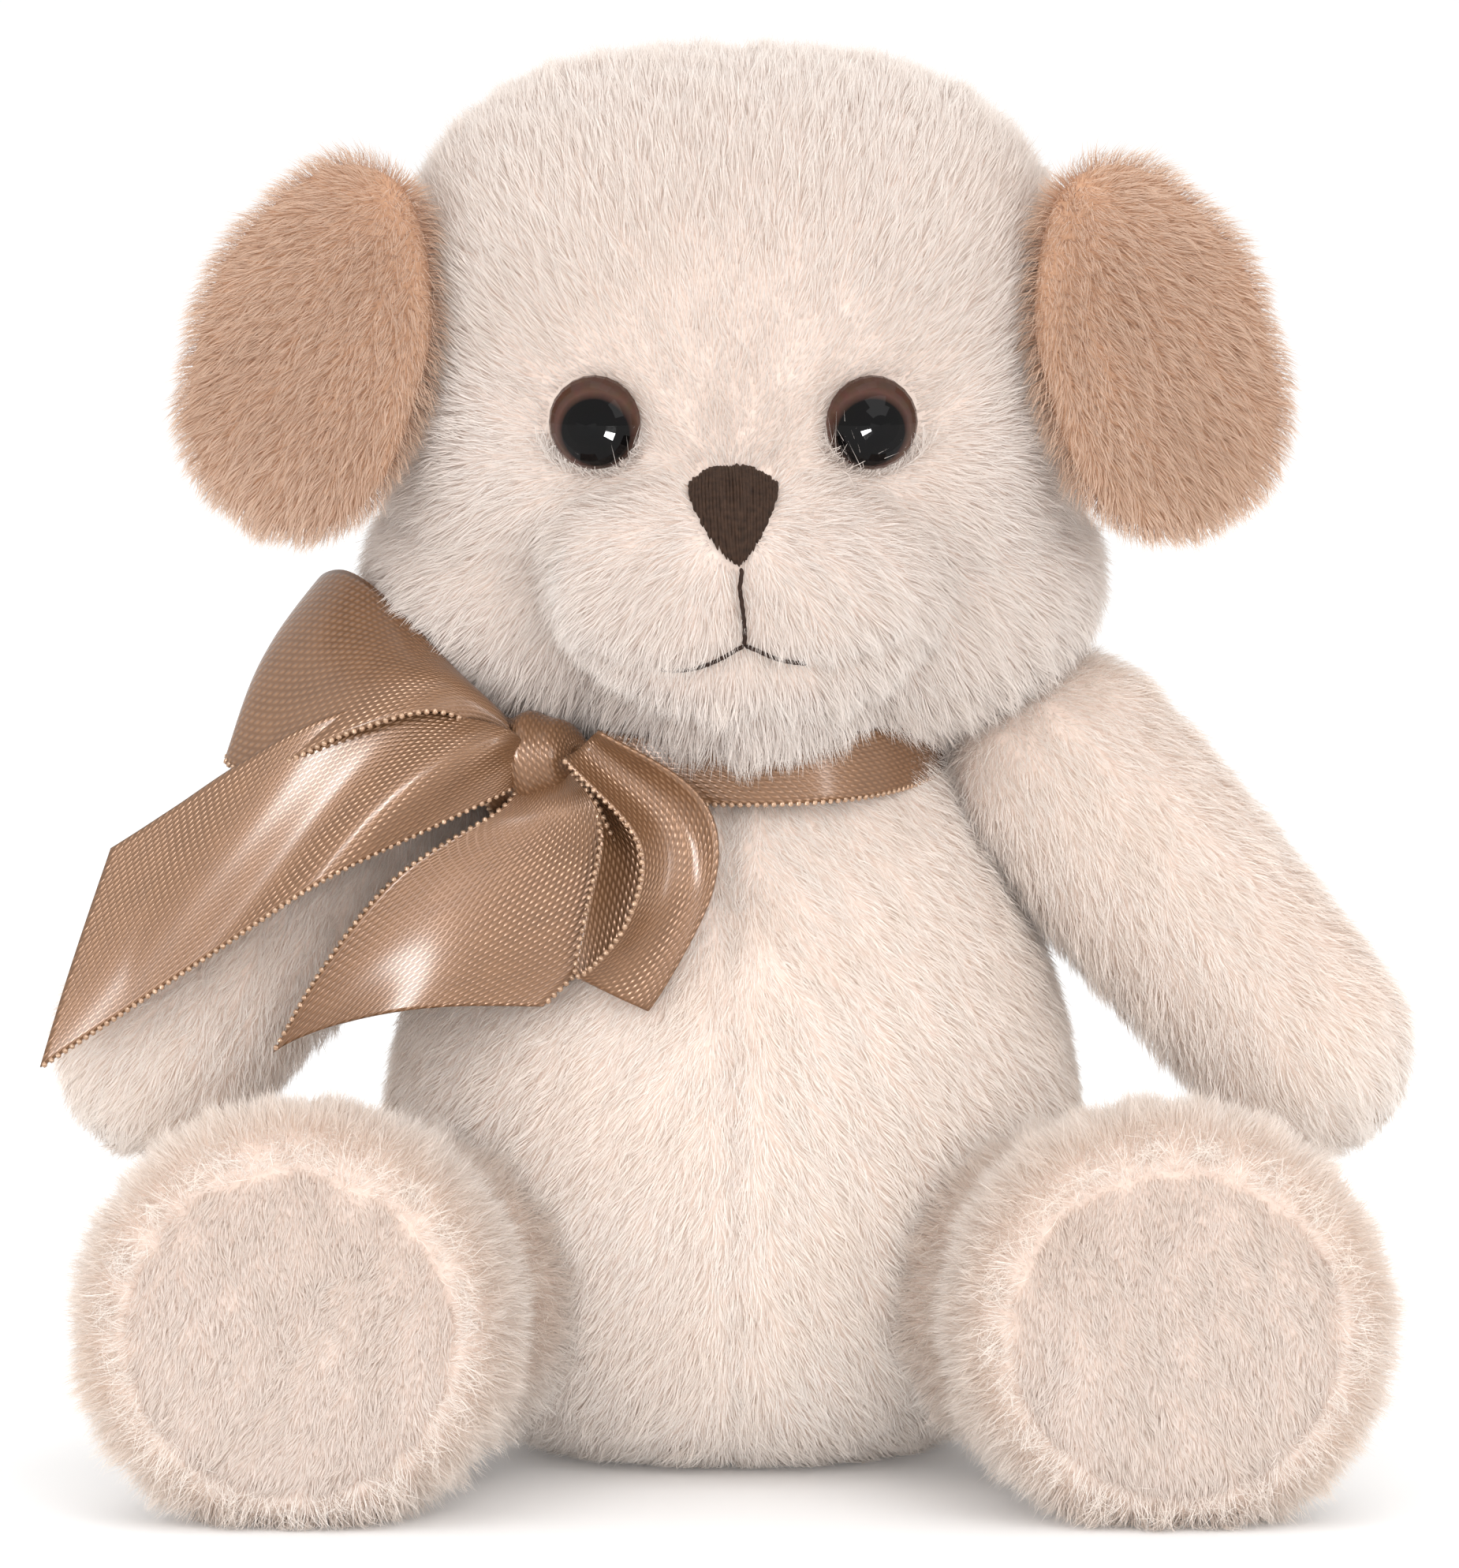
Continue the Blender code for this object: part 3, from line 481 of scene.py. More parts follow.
def ear_skin(side):
    """A padded round flap that hangs from its seam, cupped a little towards the head."""
    centre = middle(f"ear_{WORDS[side]}")
    tilt, turn = math.radians(EAR_TILT) * side, math.radians(EAR_TURN) * side
    spin = np.array(Matrix.Rotation(-tilt, 3, "Y") @ Matrix.Rotation(turn, 3, "Z"))

    def shape(rays):
        square_ball = rays / ((np.abs(rays) ** EAR_POWER).sum(-1, keepdims=True) ** (1 / EAR_POWER))
        local = square_ball * EAR_HALF * MM
        up = local[..., 2] / (EAR_HALF[2] * MM)
        local[..., 0] *= 1.0 - 0.20 * smooth_step(0.1, 1.0, up) + 0.06 * smooth_step(0.0, -0.8, up)
        local[..., 1] -= EAR_CUP * (local[..., 0] / (16 * MM)) ** 2
        return local @ spin.T + centre + EAR_RISE

    rings = shape(sphere_grid(70, 110))
    return ring_mesh(f"ear_skin_{WORDS[side]}", rings, *shape(POLES))


TAIL_RADIUS = 7.6 * MM


def tail_skin():
    root = joint_place("tail_wag")
    high = corners("tail")[1]
    tip = np.array([0, high[1] - 6 * MM, high[2] - 3 * MM])
    path = (root + mm(0, -6, -1), root + mm(0, 5, 4), tip)
    return tube_skin("tail_skin", path, capsule(TAIL_RADIUS), 48, 40)


# ---- pile ----

STRANDS_PER_MM2 = 7.5
STRAND_WIDTH = 0.10 * MM
WANDER = 0.26  # how much the tufts turn the combing
GATHER = 0.30  # how much strands' tips lean into clumps
CLUMPS = Waves(2.6 * MM, 3)
TUFTS = Waves(7.0 * MM, 5)
DRIFT = Waves(24.0 * MM, 9)


def surface_spots(skin, per_mm2):
    """Random roots spread evenly over a skin, with the skin's normals there."""
    mesh = skin.data
    mesh.calc_loop_triangles()
    co = read_vectors(mesh.vertices, "co")
    normal = read_vectors(mesh.vertex_normals, "vector")
    tris = np.empty(len(mesh.loop_triangles) * 3, np.int32)
    mesh.loop_triangles.foreach_get("vertices", tris)
    tris = tris.reshape(-1, 3)
    a, b, c = (co[tris[:, k]] for k in range(3))
    area = np.linalg.norm(np.cross(b - a, c - a), axis=1) / 2
    total = int(area.sum() * 1e6 * per_mm2)
    place = (np.arange(total) + RNG.random(total)) / total * area.sum()
    pick = np.minimum(np.searchsorted(np.cumsum(area), place), len(area) - 1)
    u, v = RNG.random(total), RNG.random(total)
    over = u + v > 1
    u, v = np.where(over, 1 - u, u), np.where(over, 1 - v, v)
    share = np.stack([1 - u - v, u, v], 1)[:, :, None]
    roots = (co[tris[pick]] * share).sum(1)
    normals = unit((normal[tris[pick]] * share).sum(1))
    return roots, normals


def grow(name, skin, material, comb, length, lean, per_mm2=1.0, keep=None):
    """Pile on a skin.

    comb gives each root's combing direction, and length its length in metres; lean is the angle from
    the skin's normal that a strand starts and ends with. keep picks the roots that get a strand.
    """
    roots, normals = surface_spots(skin, STRANDS_PER_MM2 * per_mm2)
    if keep is not None:
        held = keep(roots, normals)
        roots, normals = roots[held], normals[held]
    tall = length(roots, normals) if callable(length) else np.full(len(roots), length)
    flow = comb(roots, normals) + WANDER * TUFTS.pull(roots) + 0.15 * RNG.normal(size=roots.shape)
    return strands(name, roots, normals, flow, tall, lean, material)


def strands(name, roots, normals, flow, tall, lean, material):
    """Ribbons of two lengths and a point, rooted just under the skin."""
    count = len(roots)
    flow = unit(flow - (flow * normals).sum(1, keepdims=True) * normals)
    tall = tall * RNG.uniform(0.75, 1.12, count) * (1 + 0.08 * TUFTS.value(roots))
    start, end = lean
    jitter = RNG.normal(0, 0.12, count)
    a0 = np.clip(start + jitter, 0, 1.5)[:, None]
    a1 = np.clip(end + jitter + RNG.normal(0, 0.10, count), 0, 1.6)[:, None]
    gather = CLUMPS.pull(roots)
    gather -= (gather * normals).sum(1, keepdims=True) * normals
    first = normals * np.cos(a0) + flow * np.sin(a0)
    second = unit(normals * np.cos(a1) + flow * np.sin(a1) + GATHER * gather)
    base = roots - normals * 0.25 * MM
    bend = base + first * tall[:, None] * 0.5
    tip = bend + second * tall[:, None] * 0.5
    across = unit(np.cross(flow, normals))
    twist = RNG.normal(0, 0.5, count)[:, None]
    across = across * np.cos(twist) + np.cross(first, across) * np.sin(twist)
    wide = STRAND_WIDTH * RNG.uniform(0.75, 1.25, count)[:, None] / 2
    points = [base - across * wide, base + across * wide]
    points += [bend - across * wide * 0.8, bend + across * wide * 0.8, tip]
    points = np.stack(points, 1)
    low = points[:, :, 2] < 0.2 * MM
    points[:, :, 2] = np.where(low, 0.2 * MM + 0.25 * MM * RNG.random(points.shape[:2]), points[:, :, 2])
    patch = 0.5 + 0.22 * TUFTS.value(roots) + 0.16 * DRIFT.value(roots)
    tone = [
        np.tile(np.array([0.0, 0.0, 0.55, 0.55, 1.0]), (count, 1)),
        np.repeat(RNG.random(count)[:, None], 5, 1),
        np.repeat(patch[:, None], 5, 1),
    ]
    return strand_mesh(name, points, np.stack(tone, -1), material)


def strand_mesh(name, points, tone, material):
    count = len(points)
    mesh = bpy.data.meshes.new(name)
    first = np.arange(count)[:, None] * 5
    quads = first + np.array([0, 1, 3, 2])
    points_of_tips = first + np.array([2, 3, 4])
    corner = np.concatenate([quads, points_of_tips], 1).reshape(-1)
    mesh.vertices.add(count * 5)
    mesh.vertices.foreach_set("co", points.reshape(-1).astype(np.float32))
    mesh.loops.add(count * 7)
    mesh.loops.foreach_set("vertex_index", corner.astype(np.int32))
    mesh.polygons.add(count * 2)
    starts = (np.arange(count)[:, None] * 7 + np.array([0, 4])).reshape(-1)
    mesh.polygons.foreach_set("loop_start", starts.astype(np.int32))
    mesh.update(calc_edges=True)
    mesh.shade_smooth()
    pile = mesh.attributes.new("pile", "FLOAT_VECTOR", "POINT")
    pile.data.foreach_set("vector", tone.reshape(-1).astype(np.float32))
    side = math.ceil(math.sqrt(count))
    cell = np.arange(count)
    corner_uv = [(0.1, 0.05), (0.9, 0.05), (0.9, 0.5), (0.1, 0.5), (0.1, 0.5), (0.9, 0.5), (0.5, 0.95)]
    place = np.stack([cell % side, cell // side], 1)[:, None] + np.array(corner_uv)[None]
    layer = mesh.uv_layers.new(name="OFBake")
    layer.data.foreach_set("uv", (place / side).reshape(-1).astype(np.float32))
    made = link(mesh, name)
    mesh.materials.append(material)
    return made


# ---- materials ----


def feed(socket, value):
    """Links a socket to another one, or sets its value."""
    if hasattr(value, "is_output"):
        socket.id_data.links.new(value, socket)
    else:
        socket.default_value = value


def wire(made, *feeds, **values):
    """Feeds a shader node's first inputs in turn, and its other inputs and settings by name."""
    for key, value in values.items():
        if key.replace("_", " ") in made.inputs:
            feed(made.inputs[key.replace("_", " ")], value)
        else:
            setattr(made, key, value)
    for socket, value in zip(made.inputs, feeds):
        feed(socket, value)
    return made


def node(tree, kind, *feeds, **values):
    return wire(tree.nodes.new(f"ShaderNode{kind}"), *feeds, **values)


def mix_colour(tree, factor, a, b, blend="MIX"):
    made = node(tree, "Mix", data_type="RGBA", blend_type=blend)
    for place, value in ((0, factor), (6, a), (7, b)):
        feed(made.inputs[place], value)
    return made.outputs[2]


def new_material(name, **values):
    """A material, its tree and its shader, with the shader's values set."""
    made = bpy.data.materials.new(name)
    made.use_nodes = True
    return made, made.node_tree, wire(made.node_tree.nodes["Principled BSDF"], **values)


PATCH_SHARE = 0.35  # how much of the dim colour the dimmest patches take
STRAND_TONES = (0.90, 1.04)  # from the darkest strand to the brightest


def pile_material(name, root, tip, dim):
    """Pile that is deeper in colour at the roots, with strands and patches that differ a little."""
    finish = {"Specular_IOR_Level": 0.25, "Sheen_Weight": 0.15, "Sheen_Roughness": 0.5}
    made, tree, shader = new_material(name, Roughness=0.75, **finish)
    tone = node(tree, "Attribute", attribute_name="pile").outputs["Vector"]
    along, strand, patch = node(tree, "SeparateXYZ", tone).outputs
    fade = node(tree, "Math", patch, PATCH_SHARE, operation="MULTIPLY").outputs[0]
    tint = mix_colour(tree, fade, mix_colour(tree, along, root, tip), dim)
    vary = node(tree, "MapRange", strand, 0.0, 1.0, *STRAND_TONES).outputs[0]
    bright = node(tree, "VectorMath", tint, operation="SCALE", Scale=vary)
    wire(shader, Base_Color=bright.outputs[0])
    return made


def noise_material(name, colour, dark, scale, rough, bump, detail=3.0, **values):
    """Fine noise between two tones, with a bump of that strength and depth."""
    made, tree, shader = new_material(name, Roughness=rough, **values)
    where = node(tree, "TexCoord").outputs["Object"]
    noise = node(tree, "TexNoise", where, Scale=scale, Detail=detail).outputs["Fac"]
    raised = node(tree, "Bump", Strength=bump[0], Distance=bump[1], Height=noise)
    wire(shader, Base_Color=mix_colour(tree, noise, dark, colour), Normal=raised.outputs[0])
    return made


def rgb(*levels):
    """A colour from 0 to 255 values as seen on a screen, in linear light."""
    linear = (c / 255 / 12.92 if c <= 10 else ((c / 255 + 0.055) / 1.055) ** 2.4 for c in levels)
    return (*linear, 1.0)


# ---- stage, light and camera ----


def stage():
    mesh = bpy.data.meshes.new("floor")
    bm = bmesh.new()
    bmesh.ops.create_grid(bm, x_segments=2, y_segments=2, size=6.0)
    bm.to_mesh(mesh)
    bm.free()
    floor = link(mesh, "floor")
    finish = {"Emission_Color": (1, 1, 1, 1), "Emission_Strength": 0.05}
    made, tree, shader = new_material("floor_paint", Roughness=0.9, **finish)
    noise = node(tree, "TexNoise", Scale=3.0).outputs["Fac"]
    wire(shader, Base_Color=mix_colour(tree, noise, (0.93, 0.93, 0.93, 1), (0.95, 0.95, 0.95, 1)))
    floor.data.materials.append(made)
    world = bpy.data.worlds.new("studio")
    bpy.context.scene.world = world
    world.use_nodes = True
    wire(world.node_tree.nodes["Background"], Color=(1, 1, 1, 1), Strength=1.0)


GLOSSY_LIGHTS = ("key", "top", "catch", "sheen_left", "sheen_right")
VIEW_HEIGHT = 210.7 * MM  # what the frame shows at the object, from top to bottom
CAMERA_AIM = (-0.5 * MM, 0, 90.2 * MM)
CAMERA_REACH = 2.4
CAMERA_RISE = math.radians(7)
SENSOR = 36  # millimetres, as Blender takes it


def look_at(made, aim):
    made.rotation_euler = (Vector(aim) - made.location).to_track_quat("-Z", "Y").to_euler()


def area_light(name, place, aim, size, power, only_on=None):
    """A light; one that shines only on a collection adds gloss there and no more light."""
    data = bpy.data.lights.new(name, "AREA")
    data.shape = "RECTANGLE"
    data.size, data.size_y = size
    data.energy = power
    made = link(data, name)
    made.location = place
    look_at(made, aim)
    made.visible_glossy = name in GLOSSY_LIGHTS
    made.visible_camera = False
    if only_on:
        made.visible_diffuse = False
        made.light_linking.receiver_collection = only_on
    return made


def camera():
    data = bpy.data.cameras.new("camera")
    data.sensor_width = SENSOR
    data.lens = SENSOR * CAMERA_REACH / VIEW_HEIGHT
    data.clip_end = 20
    made = link(data, "camera")
    rise = Vector((0, -math.cos(CAMERA_RISE), math.sin(CAMERA_RISE)))
    made.location = Vector(CAMERA_AIM) + rise * CAMERA_REACH
    look_at(made, CAMERA_AIM)
    bpy.context.scene.camera = made


# ---- combing ----


def head_comb(p, n):
    """Down and out over the cheeks, up and back over the brow, and away from the nose on the muzzle."""
    away = p - (MUZZLE + mm(0, -18, 9))
    away[:, 1] *= 0.4
    out = unit(away)
    down = np.array([0, 0.25, -1.0])
    up = np.array([0, 0.8, 1.0])
    behind = smooth_step(-12 * MM, 22 * MM, p[:, 1])[:, None]
    high = smooth_step(HEAD[2] - 4 * MM, HEAD[2] + 14 * MM, p[:, 2])[:, None]
    low = smooth_step(HEAD[2] + 2 * MM, HEAD[2] - 16 * MM, p[:, 2])[:, None]
    front = smooth_step(5 * MM, -15 * MM, p[:, 1])[:, None]
    crown = np.array([0, 1.0, 0]) * high
    return out * front + (up * high * 0.9 + down * low * 0.7) * (1 - behind) + (crown + down) * behind


def body_comb(p, n):
    side = np.sign(p[:, 0]) * smooth_step(0, 8 * MM, np.abs(p[:, 0]))
    out = np.zeros_like(p)
    out[:, 0] = side * 0.55
    out[:, 2] = -1.0
    return out


def along_comb(start, end, splay=0.25):
    heading = unit(np.asarray(end) - np.asarray(start))

    def comb(p, n):
        return heading + splay * n + np.array([0, 0, -0.25])

    return comb


def foot_comb(side):
    centre = middle(f"sole_{WORDS[side]}")

    def comb(p, n):
        away = p - centre
        away[:, 1] = 0
        return AHEAD + 0.5 * unit(away)

    return comb


def ear_comb(side):
    centre = middle(f"ear_{WORDS[side]}") + mm(-side * 10, 0, 20)
    def comb(p, n):
        away = p - centre
        return unit(away) + np.array([side * 0.1, 0, -0.35])

    return comb


CREAM_HEAD = pile_material("cream_pile_head", rgb(226, 211, 202), rgb(234, 227, 221), rgb(230, 215, 204))
CREAM_BODY = pile_material("cream_pile_body", rgb(245, 230, 219), rgb(250, 245, 240), rgb(248, 231, 217))
TAN_EAR = pile_material("tan_pile", rgb(192, 151, 121), rgb(233, 208, 188), rgb(200, 164, 138))
SOLE_PILE = pile_material("sole_pile", rgb(230, 214, 203), rgb(242, 232, 225), rgb(234, 219, 207))
BACKING = {"scale": 900.0, "rough": 0.9, "bump": (0.5, 0.0006)}
CREAM_SKIN = noise_material("cream_backing", rgb(240, 225, 214), rgb(232, 211, 199), **BACKING)
TAN_SKIN = noise_material("tan_backing", rgb(214, 174, 144), rgb(200, 158, 128), **BACKING)

SKIN_REST = 1.2 * MM  # how high a skin's underside lies, with its pile pressed flat below


def dress(skin, body, replaced, backing=CREAM_SKIN):
    """Presses a skin's underside flat, and gives it its backing and its place in the frame."""
    co = read_vectors(skin.data.vertices, "co")
    low = co[:, 2] < SKIN_REST
    co[low, 2] = SKIN_REST + 0.1 * (co[low, 2] - SKIN_REST)
    skin.data.vertices.foreach_set("co", co.reshape(-1))
    skin.data.materials.append(backing)
    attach(skin, body)
    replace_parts(skin, *replaced)


def cover(pile, body):
    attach(pile, body)


NOSE_HALF_WIDTH = 5.4 * MM
NOSE_TOP_DROP = 2.7 * MM  # how far the stitches stop below the moulded nose's top
# How long the pile is
HEAD_PILE, BODY_PILE, ARM_PILE, LEG_PILE = 4.8 * MM, 4.0 * MM, 4.6 * MM, 5.8 * MM
SOLE_NAP, EAR_PILE, TAIL_PILE = 3.0 * MM, 4.5 * MM, 6.0 * MM


def under_nose(p):
    """Roots that the nose's stitches cover."""
    low, high = corners("nose")
    top = high[2] - NOSE_TOP_DROP - 0.6 * MM
    down = (top - p[:, 2]) / (top - low[2])
    half_width = (NOSE_HALF_WIDTH - 0.5 * MM) * np.clip((1 - down) / 0.62, 0, 1) ** 0.6
    return (np.abs(p[:, 0]) < half_width) & (down > 0.0) & (down < 1) & (p[:, 1] < -0.02)


def make_head():
    skin = head_skin()
    dress(skin, "head", ("head_cover", "muzzle_cover"))

    def keep(p, n):
        clear = np.ones(len(p), bool)
        for side in WORDS:
            off = (p - eye_rim(side))[:, [0, 2]]
            clear &= (np.hypot(off[:, 0], off[:, 1]) > EYE_RADIUS - 0.4 * MM) | (p[:, 1] > 0)
        return clear & ~under_nose(p)

    def length(p, n):
        tall = np.full(len(p), HEAD_PILE)
        from_face = np.linalg.norm((p - (HEAD + mm(0, -36, 2))), axis=1)
        tall *= 1 - 0.30 * smooth_step(28 * MM, 12 * MM, from_face)
        for side in WORDS:
            off = np.linalg.norm((p - eye_front(side))[:, [0, 2]], axis=1)
            tall *= 1 - 0.45 * bell(off, 8.5 * MM) * (p[:, 1] < 0)
        return tall * (1 + 0.30 * smooth_step(MUZZLE[2] - 6 * MM, MUZZLE[2] - 16 * MM, p[:, 2]))

    marks = np.vstack(mouth_lines(face_finder(skin)))
    seams = KDTree(len(marks))
    for i, place in enumerate(marks):
        seams.insert(place, i)
    seams.balance()

    def pressed(p):
        """The share of its length that pile keeps beside the mouth's threads."""
        gap = np.array([seams.find(place)[2] if place[1] < -0.02 else 1.0 for place in p])
        return 0.62 + 0.38 * smooth_step(1.0 * MM, 3.5 * MM, gap)

    def combed_length(p, n):
        return length(p, n) * pressed(p)

    pile = grow("head_pile", skin, CREAM_HEAD, head_comb, combed_length, (0.75, 1.15), keep=keep)
    cover(pile, "head")
    make_face(skin)
    lower_lids(skin)


def make_body():
    skin = body_skin()
    dress(skin, "torso", ("body_cover_left", "body_cover_right"))
    cover(grow("body_pile", skin, CREAM_BODY, body_comb, BODY_PILE, (0.85, 1.25)), "torso")


def make_limbs():
    for side, word in WORDS.items():
        skin = arm_skin(side)
        dress(skin, f"arm_{word}", (f"arm_cover_{word}",))
        path = arm_path(side)
        comb = along_comb(path[0], path[2])
        cover(grow(f"arm_pile_{word}", skin, CREAM_BODY, comb, ARM_PILE, (0.7, 1.1)), f"arm_{word}")
        skin = leg_skin(side)
        dress(skin, f"leg_{word}", (f"leg_cover_{word}",))
        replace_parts(skin, f"sole_{word}")
        sole = middle(f"sole_{word}")

        def on_sole(p, n, sole=sole):
            off = np.hypot(p[:, 0] - sole[0], p[:, 2] - sole[2])
            edge = FOOT_RADIUS * (0.81 + 0.012 * TUFTS.value(p) + 0.012 * RNG.normal(size=len(p)))
            return (off < edge) & (p[:, 1] < sole[1] + 4 * MM)

        def around(p, n, inner=on_sole):
            return ~inner(p, n)

        def nap(p, n, side=side):
            return np.tile(np.array([0.25 * side, 0, -1.0]), (len(p), 1)) + 0.5 * DRIFT.pull(p)

        comb = foot_comb(side)
        pile = grow(f"leg_pile_{word}", skin, CREAM_BODY, comb, LEG_PILE, (0.4, 0.85), keep=around)
        lean = (0.55, 1.0)
        short = grow(f"sole_pile_{word}", skin, SOLE_PILE, nap, SOLE_NAP, lean, per_mm2=1.8, keep=on_sole)
        cover(pile, f"leg_{word}")
        cover(short, f"leg_{word}")


def make_ears():
    for side, word in WORDS.items():
        skin = ear_skin(side)
        dress(skin, f"ear_{word}", (f"ear_{word}",), TAN_SKIN)
        pile = grow(f"ear_pile_{word}", skin, TAN_EAR, ear_comb(side), EAR_PILE, (0.3, 0.8), per_mm2=1.25)
        cover(pile, f"ear_{word}")


def make_tail():
    skin = tail_skin()
    dress(skin, "tail", ("tail",))
    high = corners("tail")[1]
    comb = along_comb(joint_place("tail_wag"), (0, high[1], high[2]))
    cover(grow("tail_pile", skin, CREAM_BODY, comb, TAIL_PILE, (0.35, 0.85), per_mm2=1.3), "tail")


# ---- satin ribbon ----

PICOT_PITCH = 1.12 * MM
PICOT_RADIUS = 0.47 * MM
RIBBONS = bpy.data.collections.new("ribbons")  # what the sheen lights shine on
RIBBON_THICKNESS = 0.45 * MM
BOW = middle("bow_knot")
RIBS = (("DIAGONAL", 0.58), ("Y", 0.66))  # the weave's two sets, and their pitch in millimetres


def satin_material(name, colour, deep, weave_highlight, gloss, metal=0.25):
    """Woven satin: fine cross ribs whose raised crossings are painted lighter, partly as a highlight, with a
    soft sheen and slightly uneven dye.
    """
    finish = {"Coat_Weight": 0.30, "Coat_Roughness": 0.22, "Sheen_Weight": 0.03, "Sheen_Roughness": 0.35}
    finish |= {"Roughness": 0.33, "Metallic": metal, "Specular_IOR_Level": gloss}
    made, tree, shader = new_material(name, **finish)
    weave = node(tree, "UVMap", uv_map="weave").outputs[0]
    ribs = []
    for axis, pitch in RIBS:
        wave = node(tree, "TexWave", weave, bands_direction=axis, Scale=math.tau / 20 / pitch)
        ribs.append(wave.outputs["Fac"])
    crossing = node(tree, "Math", *ribs, operation="MULTIPLY").outputs[0]
    dye = node(tree, "TexNoise", weave, Scale=0.35, Detail=4.0).outputs["Fac"]
    # The lighter tone at the ribs' crossings, where the bump is highest, is partly the weave's pattern and
    # partly a painted highlight on the raised threads.
    tint = mix_colour(tree, crossing, mix_colour(tree, dye, deep, colour), weave_highlight)
    bump = node(tree, "Bump", Strength=0.55, Distance=0.00022, Height=crossing)
    wire(shader, Base_Color=tint, Normal=bump.outputs[0])
    return made


# Each satin's third tone is the lighter one of its rib crossings, partly a painted highlight.
SATIN = satin_material("bronze_satin", rgb(132, 95, 65), rgb(103, 72, 48), rgb(150, 111, 80), 0.5)
# The beads' tones are much lighter than the satin's: a painted highlight on the looped edges.
HIGHLIT_PICOT = satin_material("bronze_picot_painted_highlight", rgb(190, 154, 124), rgb(156, 120, 92), rgb(204, 172, 144), 0.6)

def cloth_grid(edge_a, edge_b, rows, columns, crown):
    """A grid between two edges, raised off the straight line between them by crown(along, across)."""
    a, b = curve(edge_a, rows), curve(edge_b, rows)
    across = np.linspace(0, 1, columns)
    grid = a[:, None] * (1 - across)[None, :, None] + b[:, None] * across[None, :, None]
    out = grid_normals(grid)
    along = np.linspace(0, 1, rows)
    return grid + out * crown(along[:, None], across[None, :])[..., None]


def grid_normals(grid):
    return unit(np.cross(np.gradient(grid, axis=0), np.gradient(grid, axis=1)))


def spans(grid, axis):
    """The mean distances between a grid's rows, axis 0, or between its columns, axis 1."""
    return np.linalg.norm(np.diff(grid, axis=axis), axis=2).mean(1 - axis)


def cloth(name, grid, material, thickness=RIBBON_THICKNESS):
    """A thin closed sheet round a grid of points, with a map in millimetres for the weave."""
    rows, columns = grid.shape[:2]
    out = grid_normals(grid) * thickness / 2
    verts = np.concatenate([(grid + out).reshape(-1, 3), (grid - out).reshape(-1, 3)])
    u, v = (np.concatenate([[0], np.cumsum(spans(grid, axis))]) / MM for axis in (0, 1))
    place = np.stack(np.meshgrid(u, v, indexing="ij"), -1).reshape(-1, 2)
    number = np.arange(rows * columns).reshape(rows, columns)
    under = rows * columns
    faces = []
    for k in number[:-1, :-1].reshape(-1).tolist():
        quad = (k, k + columns, k + columns + 1, k + 1)
        faces.append(quad)
        faces.append(tuple(under + n for n in reversed(quad)))
    rim = [number[0], number[1:, -1], number[-1, -2::-1], number[-2:0:-1, 0]]
    rim = np.concatenate(rim).tolist()
    for here, there in zip(rim, rim[1:] + rim[:1]):
        faces.append((here, there, under + there, under + here))
    return plain_mesh(name, verts.tolist(), faces, material, np.concatenate([place, place]))


def ball_template(detail):
    bm = bmesh.new()
    bmesh.ops.create_icosphere(bm, subdivisions=detail, radius=1.0)
    verts = np.array([v.co[:] for v in bm.verts])
    faces = np.array([[v.index for v in f.verts] for f in bm.faces])
    bm.free()
    return verts, faces


def picot(name, lines):
    """The looped edge of the ribbon: a row of small beads of thread along each line."""
    ball, faces = ball_template(1)
    places = []
    for line in lines:
        along = distances(line)
        places.append(read_at(np.arange(PICOT_PITCH / 2, along[-1], PICOT_PITCH), along, line))
    places = np.vstack(places)
    verts = (places[:, None] + ball[None] * PICOT_RADIUS).reshape(-1, 3)
    index = (faces[None] + np.arange(len(places))[:, None, None] * len(ball)).reshape(-1, 3)
    return plain_mesh(name, verts.tolist(), index.tolist(), HIGHLIT_PICOT, verts[:, [0, 2]] / MM)


def ribbon(name, grid, replaced, edged=(0,)):
    """One length of ribbon with its picot edges, lying where its CAD strip is."""
    sheet = cloth(name, grid, SATIN)
    edges = picot(f"{name}_picot", [grid[:, side] for side in edged])
    for piece in (sheet, edges):
        RIBBONS.objects.link(piece)
        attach(piece, "torso")
    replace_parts(sheet, replaced)


def from_knot(*points):
    return [BOW + mm(*p) for p in points]


TOWARDS = -1  # the grid's normals face the dog
BOTH_EDGES = (0, -1)
TAIL_FOLD, TAIL_FOLD_WIDTH = 3.4, 5.5  # in millimetres


